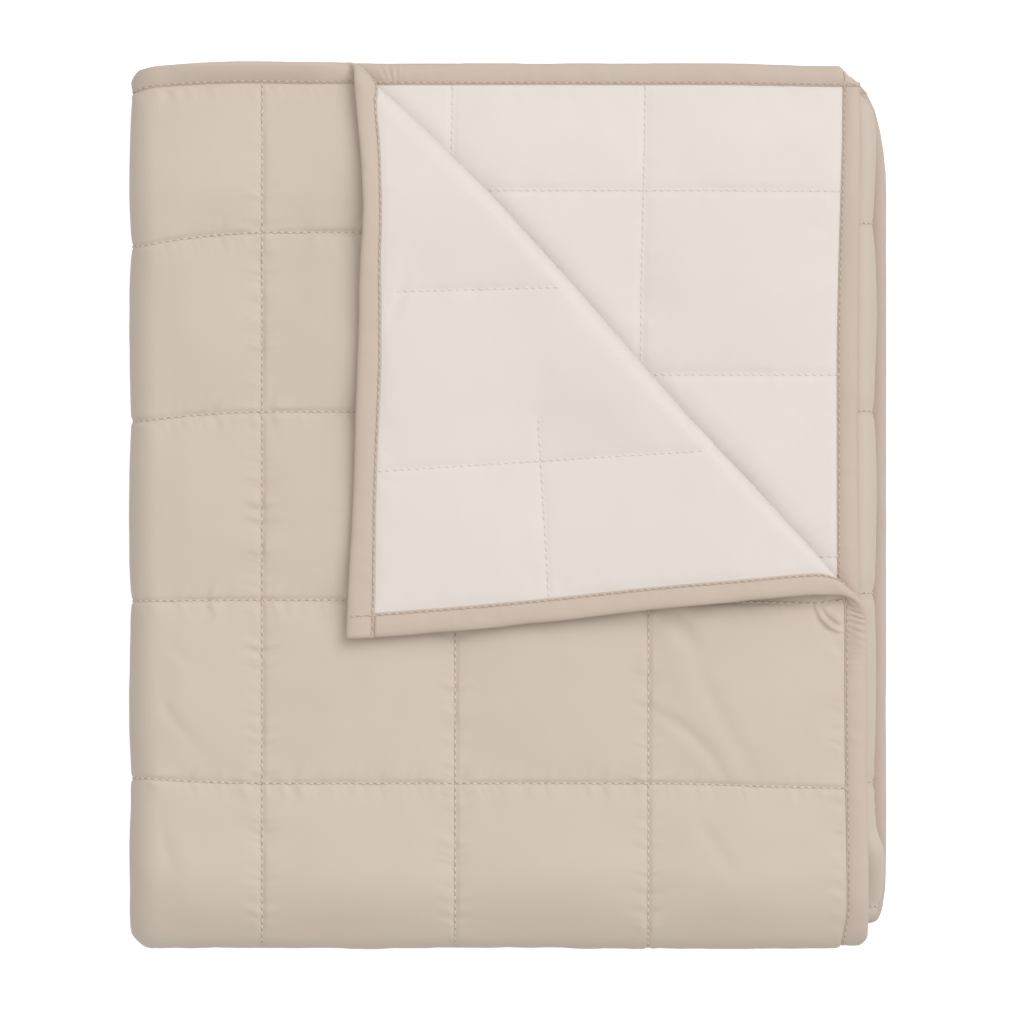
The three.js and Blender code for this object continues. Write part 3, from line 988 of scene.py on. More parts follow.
@dataclass(frozen=True)
class Crease(StitchLine):
    """A crease at a given place: a trough with low ridges along it, or a ridge if its depth is negative."""

    layer: Layer
    width: float
    depth: float
    bow: float = 0.0
    # Shares of the crease's length: how far its bow goes on past its ends, and how soon it fades.
    overrun: float = 0.3
    fade: float = 0.55

    def height(self, x: Array, y: Array) -> Array:
        """Height that the crease adds.

        Args:
            x: plan positions.
            y: plan positions.

        Returns:
            The height at each position.
        """
        along, off = self.measure(x, y)
        passed = np.clip(along / self.length, -self.overrun, 1.0 + self.overrun)
        off = off - 4.0 * self.bow * passed * (1.0 - passed)
        share = (off / self.width) ** 2
        faded = bell(along, self.length / 2, self.length * self.fade)
        return -self.depth * (1.0 - share) * np.exp(-share) * faded


FLAP_LINES = (
    StitchLine(-71.9, 140.9, 45.5, 144.0),
    StitchLine(-83.8, 22.8, 136.6, 36.6),
    StitchLine(20.1, 56.0, 27.1, -62.4),
)

CREASES = (
    Crease(96.4, -135.6, 141.2, -175.2, Layer.FRONT, 5.5, 1.2, -4.5),
    Crease(117.5, -94.7, 159.1, -171.3, Layer.FRONT, 8.0, 0.9),
    Crease(101.6, -66.0, 125.4, -94.1, Layer.FRONT, 8.5, 2.4),
    Crease(211.2, -148.2, 217.8, -142.9, Layer.FRONT, 3.2, 0.6),
    Crease(-233.0, -126.4, -205.9, -160.7, Layer.FRONT, 6.0, 0.9),
    Crease(-221.8, -93.4, -210.5, -104.6, Layer.FRONT, 5.0, 0.5),
    Crease(216.5, -86.8, 222.4, -102.0, Layer.FRONT, 4.0, 0.9),
    Crease(203.3, -64.4, 223.5, -80.9, Layer.FRONT, 1.7, -3.2, 4.6),
    Crease(208.6, -65.7, 223.5, -76.9, Layer.FRONT, 1.7, -2.8, 1.3),
    Crease(-170.0, 277.0, -160.0, 268.0, Layer.FRONT, 3.0, 0.9),
    Crease(-237.0, -201.0, -221.8, -238.0, Layer.FRONT, 5.5, 0.9),
    Crease(-243.0, -225.0, -229.7, -242.5, Layer.FRONT, 4.5, 0.6),
    Crease(124.7, -206.3, 148.5, -241.9, Layer.FRONT, 6.5, 0.7),
    Crease(-66.9, 158.0, -81.4, 114.5, Layer.FLAP, 4.5, 0.7, -2.6),
    Crease(92.8, 194.2, 102.8, 202.6, Layer.SECOND, 3.2, -0.4),
    Crease(200.6, 186.8, 212.3, 179.5, Layer.SECOND, 4.0, 0.4),
)


class Ripple:
    """Smooth random numbers along a line, the same on every run."""

    def __init__(self, seed: int, count: int = 4096) -> None:
        """Draws the numbers, which repeat after count of them."""
        self.values = np.random.default_rng(seed).normal(size=count)

    def at(self, position: Array) -> Array:
        """Reads the numbers between their knots.

        Args:
            position: where to read, in knots.

        Returns:
            One smooth number for each position.
        """
        knot = np.floor(position).astype(int)
        share = smooth(position, knot, knot + 1)
        count = len(self.values)
        return self.values[knot % count] * (1.0 - share) + self.values[(knot + 1) % count] * share


class Grain:
    """Smooth random heights over the flat sheet, the same on every run."""

    def __init__(self, seed: int, scale: float, count: int = 256) -> None:
        """Draws the heights of a grid with its knots scale apart, which repeat after count of them."""
        self.values = np.random.default_rng(seed).normal(size=(count, count))
        self.scale = scale

    def at(self, at: Flat) -> Array:
        """Reads the heights between their knots.

        Args:
            at: flat points.

        Returns:
            One smooth height for each point.
        """
        u, v = at.a / self.scale, at.b / self.scale
        i, j = np.floor(u).astype(int), np.floor(v).astype(int)
        p, q = smooth(u, i, i + 1), smooth(v, j, j + 1)
        count = len(self.values)
        i, j, i2, j2 = i % count, j % count, (i + 1) % count, (j + 1) % count
        first = self.values[i, j] * (1.0 - p) + self.values[i2, j] * p
        second = self.values[i, j2] * (1.0 - p) + self.values[i2, j2] * p
        return first * (1.0 - q) + second * q


class Quilting:
    """Heights of the quilt's two sides over the middle of the sheet."""

    LINE_STEP = 137.0
    SIDE_STEP = 1713.0
    FIRST_FLAP_LINE = 40
    RIPPLE_SEED = 11
    UNEVEN_SEED = 23
    CRUMPLE_SEED = 37

    def __init__(self, sheet: FoldedSheet, sizes: QuiltingSizes) -> None:
        """Keeps the sheet and draws the random numbers.

        Args:
            sheet: how the sheet is folded.
            sizes: sizes of the quilting.
        """
        self.sheet = sheet
        self.sizes = sizes
        self.pack = sheet.pack
        self.ripple = Ripple(self.RIPPLE_SEED)
        self.uneven = Grain(self.UNEVEN_SEED, sizes.uneven_scale)
        self.crumple = Grain(self.CRUMPLE_SEED, sizes.crumple_scale)

    def inset(self, at: Flat) -> Array:
        """Distance to the nearest edge of the sheet."""
        ends = np.minimum(at.a, self.pack.sheet_length - at.a)
        return np.minimum(ends, np.minimum(at.b, self.pack.sheet_width - at.b))

    def pillow(self, distance: Array) -> Array:
        """Rise of a padded square at a distance from its stitch line, 0 to 1."""
        return np.sin(math.pi / 2 * ramp(distance, 0.0, self.sizes.square_half)) ** self.sizes.fullness

    def nearest(self, value: Array, lines: Array, total: float) -> Pair:
        """The nearest stitch line or bound edge.

        Args:
            value: coordinates across the lines.
            lines: coordinates of the lines.
            total: coordinate of the far edge.

        Returns:
            Distance to the nearest line, and its number.
        """
        seam = self.sizes.seam
        stops = np.concatenate([[seam], lines, [total - seam]])
        right = np.clip(np.searchsorted(stops, value), 1, len(stops) - 1)
        left = right - 1
        nearer = np.where(np.abs(value - stops[left]) < np.abs(value - stops[right]), left, right)
        return np.abs(value - stops[nearer]), nearer

    def nearest_column(self, at: Flat) -> Pair:
        """Distance to the nearest stitch line across the sheet, and its number."""
        return self.nearest(at.a, self.sizes.columns, self.pack.sheet_length)

    def nearest_row(self, at: Flat) -> Pair:
        """Distance to the nearest stitch line along the sheet, and its number."""
        return self.nearest(at.b, np.array(self.sizes.rows), self.pack.sheet_width)

    def pucker(self, along: Array, off: Array, line: Array | int, side: Side) -> Array:
        """The groove that the stitches pull along a line, and the small gathers beside it.

        Args:
            along: distances along the line.
            off: distances from it.
            line: number of the line.
            side: side of the sheet.

        Returns:
            The height of the groove and the gathers.
        """
        sizes = self.sizes
        start = line * self.LINE_STEP + side.value * self.SIDE_STEP
        leaned = (along + sizes.pucker_lean * off) / sizes.pucker_spacing
        finer = self.ripple.at(sizes.fine_pucker_rate * leaned + start)
        wave = self.ripple.at(leaned + start) + sizes.fine_pucker_share * finer
        short = sizes.pucker_height * wave * np.exp(-off / sizes.pucker_reach)
        wave = self.ripple.at(along / sizes.gather_spacing - start)
        long = sizes.gather_height * wave * np.exp(-off / sizes.gather_reach)
        held = 1.0 - np.exp(-off / sizes.stitch_hold)
        height = (short + long) * held - sizes.groove * bell(off, 0.0, sizes.groove_width)
        return height if side is Side.FACE else sizes.reverse_share * height

    def main_relief(self, at: Flat, side: Side) -> Pair:
        """Rise and puckers of the sheet's own square quilting.

        Args:
            at: flat points.
            side: side of the sheet.

        Returns:
            The rise from 0 to 1, and the height of the puckers.
        """
        sizes = self.sizes
        from_column, column = self.nearest_column(at)
        from_row, row = self.nearest_row(at)
        rise = self.pillow(from_column) * self.pillow(from_row)
        rise = rise + (1.0 - rise) * sizes.turn_rise * self.on_turn(at)
        pressed = 1.0 - smooth(self.sheet.beyond_fold(at), 0.0, sizes.pressed_reach)
        rise = rise * (1.0 - sizes.pressed_by_fold * pressed * self.sheet.is_second(at))
        pucker = self.pucker(at.b, from_column, column, side)
        return rise, pucker + self.pucker(at.a, from_row, row + len(sizes.columns) + 2, side)

    def on_turn(self, at: Flat) -> Array:
        """How far points lie on a fold of the pack, where the stitch lines pull in less, 0 to 1."""
        folds = [(at.b, *self.pack.half_fold), *((at.a, *turn) for turn in self.pack.turns)]
        return np.maximum.reduce([plateau(*fold, self.sizes.turn_ease) for fold in folds])

    def shown(self, at: Flat, side: Side) -> Array:
        """How far points lie on a side that faces up with nothing over it, 0 to 1.

        Args:
            at: flat points.
            side: side of the sheet.

        Returns:
            The share at each point.
        """
        pack, sheet, ease = self.pack, self.sheet, 2 * self.pack.pitch
        top = 1.0 - smooth(at.a, pack.first_fold - ease, pack.first_fold)
        if side is Side.FACE:
            return top * (1.0 - smooth(at.b, pack.arm_length - ease, pack.arm_length))
        second = smooth(sheet.beyond_fold(at), 0.0, ease) * sheet.is_second(at)
        return top * np.maximum(second, sheet.is_turned_back(at))

    def flap_relief(self, at: Flat, side: Side) -> Pair:
        """Rise and puckers of the flap, from its own stitch lines and its bindings.

        Args:
            at: flat points.
            side: side of the sheet.

        Returns:
            The rise from 0 to 1, and the height of the puckers.
        """
        sizes = self.sizes
        x, y = self.sheet.flap_plan(at)
        from_end = np.maximum(at.a - sizes.seam, 0.0)
        from_edge = np.maximum(at.b - sizes.seam, 0.0)
        rise = self.pillow(from_end) * self.pillow(from_edge)
        pucker = self.pucker(at.b, from_end, 0, side) + self.pucker(at.a, from_edge, 1, side)
        for number, line in enumerate(FLAP_LINES, self.FIRST_FLAP_LINE):
            along, _ = line.measure(x, y)
            off = line.distance(x, y)
            rise = rise * (1.0 - sizes.flap_line_share * (1.0 - self.pillow(off)))
            pucker = pucker + sizes.flap_pucker_share * self.pucker(along, off, number, side)
        return rise, pucker

    def creases(self, at: Flat, side: Side) -> Array:
        """Height of the listed creases.

        Args:
            at: flat points.
            side: side of the sheet.

        Returns:
            The height at each point.
        """
        turned = self.sheet.is_turned_back(at)
        y, over, _, _ = self.sheet.hairpin(at.b)
        front = (at.a < self.pack.first_fold) & (over > 0) & ~turned
        plan = (self.pack.panel_from[0] - at.a, y)
        where = {
            Layer.FRONT: (Side.FACE, front, plan),
            Layer.FLAP: (Side.REVERSE, turned, self.sheet.flap_plan(at)),
            Layer.SECOND: (Side.REVERSE, self.sheet.is_second(at), plan),
        }
        height = np.zeros_like(at.a)
        for crease in CREASES:
            crease_side, shown, places = where[crease.layer]
            if crease_side is side:
                height = height + np.where(shown, crease.height(*places), 0.0)
        return height

    def relief(self, at: Flat, side: Side) -> Pair:
        """Rise and puckers of the whole sheet, with the flap's own past the bend.

        Args:
            at: flat points.
            side: side of the sheet.

        Returns:
            The rise from 0 to 1, and the height of the puckers.
        """
        rise, pucker = self.main_relief(at, side)
        turned = self.sheet.is_turned_back(at)
        if turned.any():
            flap = at.chosen(turned)
            _, past = self.sheet.fold_coordinates(flap)
            flap_rise, flap_pucker = self.flap_relief(flap, side)
            bend, least = self.sheet.bend_length, self.sheet.flap.padding_at_bend
            share = smooth(past, 0.0, bend)
            mixed = rise[turned] * (1.0 - share) + flap_rise * share
            from_bend = ramp(np.abs(past - bend / 2), 0.0, self.sizes.square_half)
            rise[turned] = mixed * (least + (1.0 - least) * from_bend)
            pucker[turned] = pucker[turned] * (1.0 - share) + flap_pucker * share
        return rise, pucker

    def half(self, at: Flat, side: Side) -> Array:
        """Distance from the sheet's middle to one of its sides.

        Args:
            at: flat points.
            side: side of the sheet.

        Returns:
            The distance at each point.
        """
        sizes = self.sizes
        rise, relief = self.relief(at, side)
        relief = relief + sizes.unevenness * rise * self.uneven.at(at)
        relief = relief + sizes.crumple * self.crumple.at(at) + self.creases(at, side)
        inset = self.inset(at)
        relief = relief * smooth(inset, sizes.seam, sizes.seam + sizes.seam_ease)
        half = (sizes.stitched + (sizes.crown - sizes.stitched) * rise) / 2 + relief
        half = np.maximum(half + sizes.shown_lift * rise * self.shown(at, side), sizes.least_half)
        return np.where(inset <= sizes.seam + NEAR, sizes.bound_edge / 2, half)

    def height(self, at: Flat, side: Side) -> Array:
        """Height of one side over the sheet's middle. The layer on the floor is pressed flat underneath.

        Args:
            at: flat points.
            side: side of the sheet.

        Returns:
            The signed height at each point.
        """
        half = self.half(at, side)
        if side is Side.REVERSE:
            return -half
        pack = self.pack
        last = pack.panel_starts[-1]
        pressed = smooth(at.a, last - pack.pitch, last)
        pressed = pressed * (1.0 - smooth(at.b, pack.arm_length, pack.arm_length + pack.hairpin_length / 2))
        pressed = np.where(self.inset(at) <= self.sizes.seam + NEAR, 0.0, pressed)
        return half * (1.0 - pressed) + pack.floor_layer * pressed


def fill_stops(fixed: list[float], spacing: float, apart: float = 1.5) -> Array:
    """Lines of a grid: fixed ones, and even steps between them.

    Args:
        fixed: coordinates that have to be lines, the more important ones first.
        spacing: longest step between lines.
        apart: a fixed line this near to a more important one is dropped.

    Returns:
        The lines in order.
    """
    kept: list[float] = []
    for value in fixed:
        if all(abs(value - other) > apart for other in kept):
            kept.append(value)
    kept.sort()
    lines = [kept[0]]
    for start, end in zip(kept, kept[1:]):
        count = max(1, math.ceil((end - start) / spacing - NEAR))
        lines.extend(np.linspace(start, end, count + 1)[1:].tolist())
    return np.array(lines)


def add_object(name: str, data: ID) -> Object:
    """Makes an object at the origin and links it to the scene.

    Args:
        name: name of the object.
        data: its mesh, light or camera.

    Returns:
        The object.
    """
    made = bpy.data.objects.new(name, data)
    bpy.context.scene.collection.objects.link(made)
    return made


def make_piece(name: str, points: Array, faces: list[list[int]], flat: Array) -> Object:
    """Makes a smooth mesh object with a map of its flat cloth.

    Args:
        name: name of the piece.
        points: places of the vertices, in millimetres.
        faces: vertex numbers of each face.
        flat: place of each vertex on the flat cloth, in millimetres.

    Returns:
        The object.
    """
    mesh = bpy.data.meshes.new(name)
    mesh.from_pydata((points * MM).tolist(), [], faces)
    mesh.validate()
    mesh.polygons.foreach_set("use_smooth", np.ones(len(mesh.polygons), bool))
    corners = np.zeros(len(mesh.loops), np.int32)
    mesh.loops.foreach_get("vertex_index", corners)
    layer = mesh.uv_layers.new(name=FLAT_MAP)
    layer.uv.foreach_set("vector", (flat * MM)[corners].astype(np.float32).ravel())
    mesh.update()
    return add_object(name, mesh)


@dataclass(frozen=True)
class QuiltMeshSizes:
    """Steps of the quilt's mesh, the parts that its cells are cut into, and where they are finer."""

    top_step: float = 12.0
    under_step: float = 26.0
    across_step: float = 12.0
    fold_steps: int = 8
    digits: int = 6
    few: int = 2
    more: int = 4
    most: int = 8
    beside_line: float = 6.6
    beside_flap_line: float = 8.58
    beside_seam: float = 13.2
    beside_crease: float = 9.0
    narrow_crease: float = 2.0
    hidden_margin: float = 12.0
    bend_margin: float = 14.0


class Quilt:
    """The padded sheet: face cloth, filling and reverse cloth, as one closed form."""

    NAME = "quilt_padding"
    CAD_NODE = "quilt"

    def __init__(self, quilting: Quilting, sizes: QuiltMeshSizes) -> None:
        """Works out the lines of the mesh.

        Args:
            quilting: heights of the two sides.
            sizes: steps of the mesh.
        """
        self.quilting = quilting
        self.sheet = quilting.sheet
        self.pack = quilting.pack
        self.sizes = sizes
        self.along_stops = self.stops_along()
        self.across_stops = self.stops_across()

    def edges(self, total: float) -> list[float]:
        """The seam and the hidden edge at both ends of one direction."""
        seam, inset = self.quilting.sizes.seam, self.quilting.sizes.edge_inset
        return [seam, total - seam, inset, total - inset]

    def stops_along(self) -> Array:
        """Lines across the sheet: fine on the top panel, coarse under it, with even steps round the turns.

        Returns:
            The lines in order, as lengths along the sheet.
        """
        pack, sizes = self.pack, self.sizes
        fixed = self.edges(pack.sheet_length) + self.quilting.sizes.columns.tolist()
        for first, _ in pack.turns:
            fixed.extend(first + np.linspace(0.0, pack.turn_length, sizes.fold_steps + 1))
        _, top_end = pack.turns[0]
        top = fill_stops([value for value in fixed if value <= top_end], sizes.top_step)
        under = fill_stops([top_end] + [value for value in fixed if value > top_end], sizes.under_step)
        return np.unique(np.round(np.concatenate([top, under]), sizes.digits))

    def stops_across(self) -> Array:
        """Lines along the sheet, with even steps round the fold across its width.

        Returns:
            The lines in order, as distances across the sheet.
        """
        pack, sizes = self.pack, self.sizes
        fold = pack.arm_length + np.linspace(0.0, pack.hairpin_length, sizes.fold_steps + 1)
        fixed = [*self.edges(pack.sheet_width), *self.quilting.sizes.rows, *fold]
        return fill_stops(fixed, sizes.across_step)

    def lattice(self, stops: Array) -> Array:
        """The lines with their finest parts between them."""
        knots = np.arange(len(stops)) * self.sizes.most
        return np.interp(np.arange(knots[-1] + 1), knots, stops)

    def under_flap(self, x: Array, y: Array) -> Array:
        """True where the flap lies over a plan position, well inside its edges.

        Args:
            x: plan positions.
            y: plan positions.

        Returns:
            One truth value for each position.
        """
        flap = self.sheet.flap
        corners = np.array([flap.fold_front, flap.tip, flap.fold_end])
        inside = np.ones(x.shape, bool)
        for start, end in zip(corners, np.roll(corners, -1, axis=0)):
            along = (end - start) / np.linalg.norm(end - start)
            off = (y - start[1]) * along[0] - (x - start[0]) * along[1]
            inside &= off > self.sizes.hidden_margin
        return inside

    def near_crease(self, layer: Layer, x: Array, y: Array, widest: float = math.inf) -> Array:
        """True beside a listed crease of a layer.

        Args:
            layer: the layer that the creases lie on.
            x: plan positions.
            y: plan positions.
            widest: leaves out creases wider than this.

        Returns:
            One truth value for each position.
        """
        near = np.zeros(x.shape, bool)
        for crease in CREASES:
            if crease.layer is layer and crease.width <= widest:
                near |= crease.distance(x, y) < self.sizes.beside_crease + abs(crease.bow)
        return near

    def fineness(self, side: Side) -> Array:
        """How many parts each cell of the grid is cut into, finer where it shows.

        Args:
            side: side of the sheet.

        Returns:
            1, few, more or most for each cell.
        """
        pack, sheet, sizes, quilting = self.pack, self.sheet, self.sizes, self.quilting
        middles = [(stops[:-1] + stops[1:]) / 2 for stops in (self.along_stops, self.across_stops)]
        along, across = np.meshgrid(*middles, indexing="ij")
        at = Flat(along.ravel(), across.ravel())
        x = pack.panel_from[0] - at.a
        y, over, _, _ = sheet.hairpin(at.b)
        _, z, _, _ = sheet.path(at.a)
        _, past = sheet.fold_coordinates(at)
        top = at.a < pack.first_fold + pack.turn_length / 2
        upper = at.b < pack.arm_length + pack.hairpin_length / 2
        from_line = np.minimum(quilting.nearest_column(at)[0], quilting.nearest_row(at)[0])
        beside = from_line < sizes.beside_line
        fine = np.ones(along.size, int)
        if side is Side.FACE:
            fine[(pack.panel_height(0) - z) % (2 * pack.pitch) > NEAR] = sizes.few
            fine[np.abs(over) < pack.half_pitch] = sizes.few
            shown = top & upper & ~self.under_flap(x, y) & (past < sizes.bend_margin)
            fine[shown] = sizes.few
            fine[shown & self.near_crease(Layer.FRONT, x, y)] = sizes.more
            narrow = self.near_crease(Layer.FRONT, x, y, sizes.narrow_crease)
            fine[shown & (beside | narrow)] = sizes.most
        else:
            flap = top & upper & (past > -sizes.bend_margin)
            second = top & ~upper & (sheet.beyond_fold(at) > -sizes.bend_margin)
            fine[flap | second] = sizes.few
            fine[flap & (past < sheet.bend_length + sizes.bend_margin)] = sizes.more
            flap_x, flap_y = sheet.flap_plan(at)
            near_edge = np.minimum(at.a, at.b) < quilting.sizes.seam + sizes.beside_seam
            fine[flap & (near_edge | self.near_crease(Layer.FLAP, flap_x, flap_y))] = sizes.more
            for line in FLAP_LINES:
                fine[flap & (line.distance(flap_x, flap_y) < sizes.beside_flap_line)] = sizes.most
            fine[second & (beside | self.near_crease(Layer.SECOND, x, y))] = sizes.more
        return fine.reshape(along.shape)

    def side_faces(self, fine: Array) -> tuple[list[list[tuple[int, int]]], Array]:
        """Faces of one side, walked so that coarse faces take in the points of finer neighbours.

        Args:
            fine: parts of each cell.

        Returns:
            Lattice places of each face's corners, and which lattice places are used.
        """
        parts = self.sizes.most
        used = np.zeros((fine.shape[0] * parts + 1, fine.shape[1] * parts + 1), bool)
        squares: list[tuple[int, int, int]] = []
        for i, j in np.ndindex(*fine.shape):
            step = parts // fine[i, j]
            for u in range(i * parts, (i + 1) * parts, step):
                for v in range(j * parts, (j + 1) * parts, step):
                    squares.append((u, v, step))
            used[i * parts:(i + 1) * parts + 1:step, j * parts:(j + 1) * parts + 1:step] = True
        faces = []
        for u, v, step in squares:
            walk = [(u + k, v) for k in range(step)]
            walk += [(u + step, v + k) for k in range(step)]
            walk += [(u + step - k, v + step) for k in range(step)]
            walk += [(u, v + step - k) for k in range(step)]
            faces.append([place for place in walk if used[place]])
        return faces, used

    def wall_faces(self, number: dict[Side, Array]) -> list[list[int]]:
        """Faces round the sheet's edge, which join its two sides.

        Args:
            number: vertex number of each lattice place, for each side.

        Returns:
            Vertex numbers of each face.
        """
        parts = self.sizes.most
        rows, columns = number[Side.FACE].shape
        border = [(u, 0) for u in range(rows - 1)]
        border += [(rows - 1, v) for v in range(columns - 1)]
        border += [(u, columns - 1) for u in range(rows - 1, 0, -1)]
        border += [(0, v) for v in range(columns - 1, 0, -1)]
        faces = []
        for start in range(0, len(border), parts):
            span = [border[(start + k) % len(border)] for k in range(parts + 1)]
            upper, lower = ([int(number[side][place]) for place in span] for side in Side)
            faces.append([k for k in upper + lower[::-1] if k >= 0])
        return faces

    def build(self) -> Object:
        """Makes the closed mesh of the quilt, with its cloths as two materials.

        Returns:
            The quilt object.
        """
        number: dict[Side, Array] = {}
        points, flats, faces, finishes = [], [], [], []
        total = 0
        for side in Side:
            walks, used = self.side_faces(self.fineness(side))
            u, v = np.nonzero(used)
            at = Flat(self.lattice(self.along_stops)[u], self.lattice(self.across_stops)[v])
            number[side] = np.full(used.shape, -1)
            number[side][u, v] = total + np.arange(len(u))
            points.append(self.sheet.place(at, self.quilting.height(at, side)))
            flats.append(np.column_stack([at.a, at.b]))
            for walk in walks:
                face = [int(number[side][place]) for place in walk]
                faces.append(face if side is Side.REVERSE else face[::-1])
                finishes.append(0 if side is Side.FACE else 1)
            total += len(u)
        walls = self.wall_faces(number)
        finishes.extend([0] * len(walls))
        piece = make_piece(self.NAME, np.concatenate(points), faces + walls, np.concatenate(flats))
        piece.data.polygons.foreach_set("material_index", np.array(finishes, np.int32))
        for finish in (FACE_CLOTH, REVERSE_CLOTH):
            piece.data.materials.append(finish.build())
        return piece


@dataclass(frozen=True)
class Gather:
    """A place where a binding strip gathers into small folds."""

    edge: Edge
    middle: float
    reach: float
    height: float


@dataclass(frozen=True)
class BindingSizes:
    """Section and steps of a folded binding. A section point is an inset from the edge and a height."""

    width: float = 14.0
    flat_width: float = 31.0
    end_gap: float = 0.3
    outer: tuple[Two, ...] = (
        (14.2, 1.62), (14.3, 1.85), (14.0, 2.0), (13.4, 1.8), (12.8, 1.8), (11.8, 2.2),
        (9.8, 2.75), (7.2, 3.05), (4.6, 2.95), (2.6, 2.5), (1.2, 1.8), (0.35, 0.95), (0.0, 0.0),
    )
    inner: tuple[Two, ...] = ((14.0, 1.45), (8.0, 1.5), (2.4, 1.4), (1.3, 0.7))
    probe_step: float = 0.5
    probe_inset: float = 3.0
    shown_step: float = 2.4
    hidden_step: float = 14.0
    bend_step: float = 1.4
    bend_margin: float = 3.0
    flap_margin: float = 6.0
    stitch_inset: float = 13.0
    stitch_start: float = 3.0
    wave: float = 0.35
    wave_spacing: float = 31.0
    pucker: Bump = Bump(0.2, 7.7, 4.2)
    pucker_spacing: float = 5.0
    pucker_lean: float = 0.3
    gathers: tuple[Gather, ...] = (
        Gather(Edge.TOP_END, 374.0, 15.0, 1.1), Gather(Edge.BACK, 314.0, 8.0, 0.5),
    )
    gather_spacing: float = 4.8
    gather_fan: float = 0.4
    gather_inset: float = 6.5
    gather_depth: float = 6.0
    gather_margin: float = 1.6
    gather_step: float = 0.7


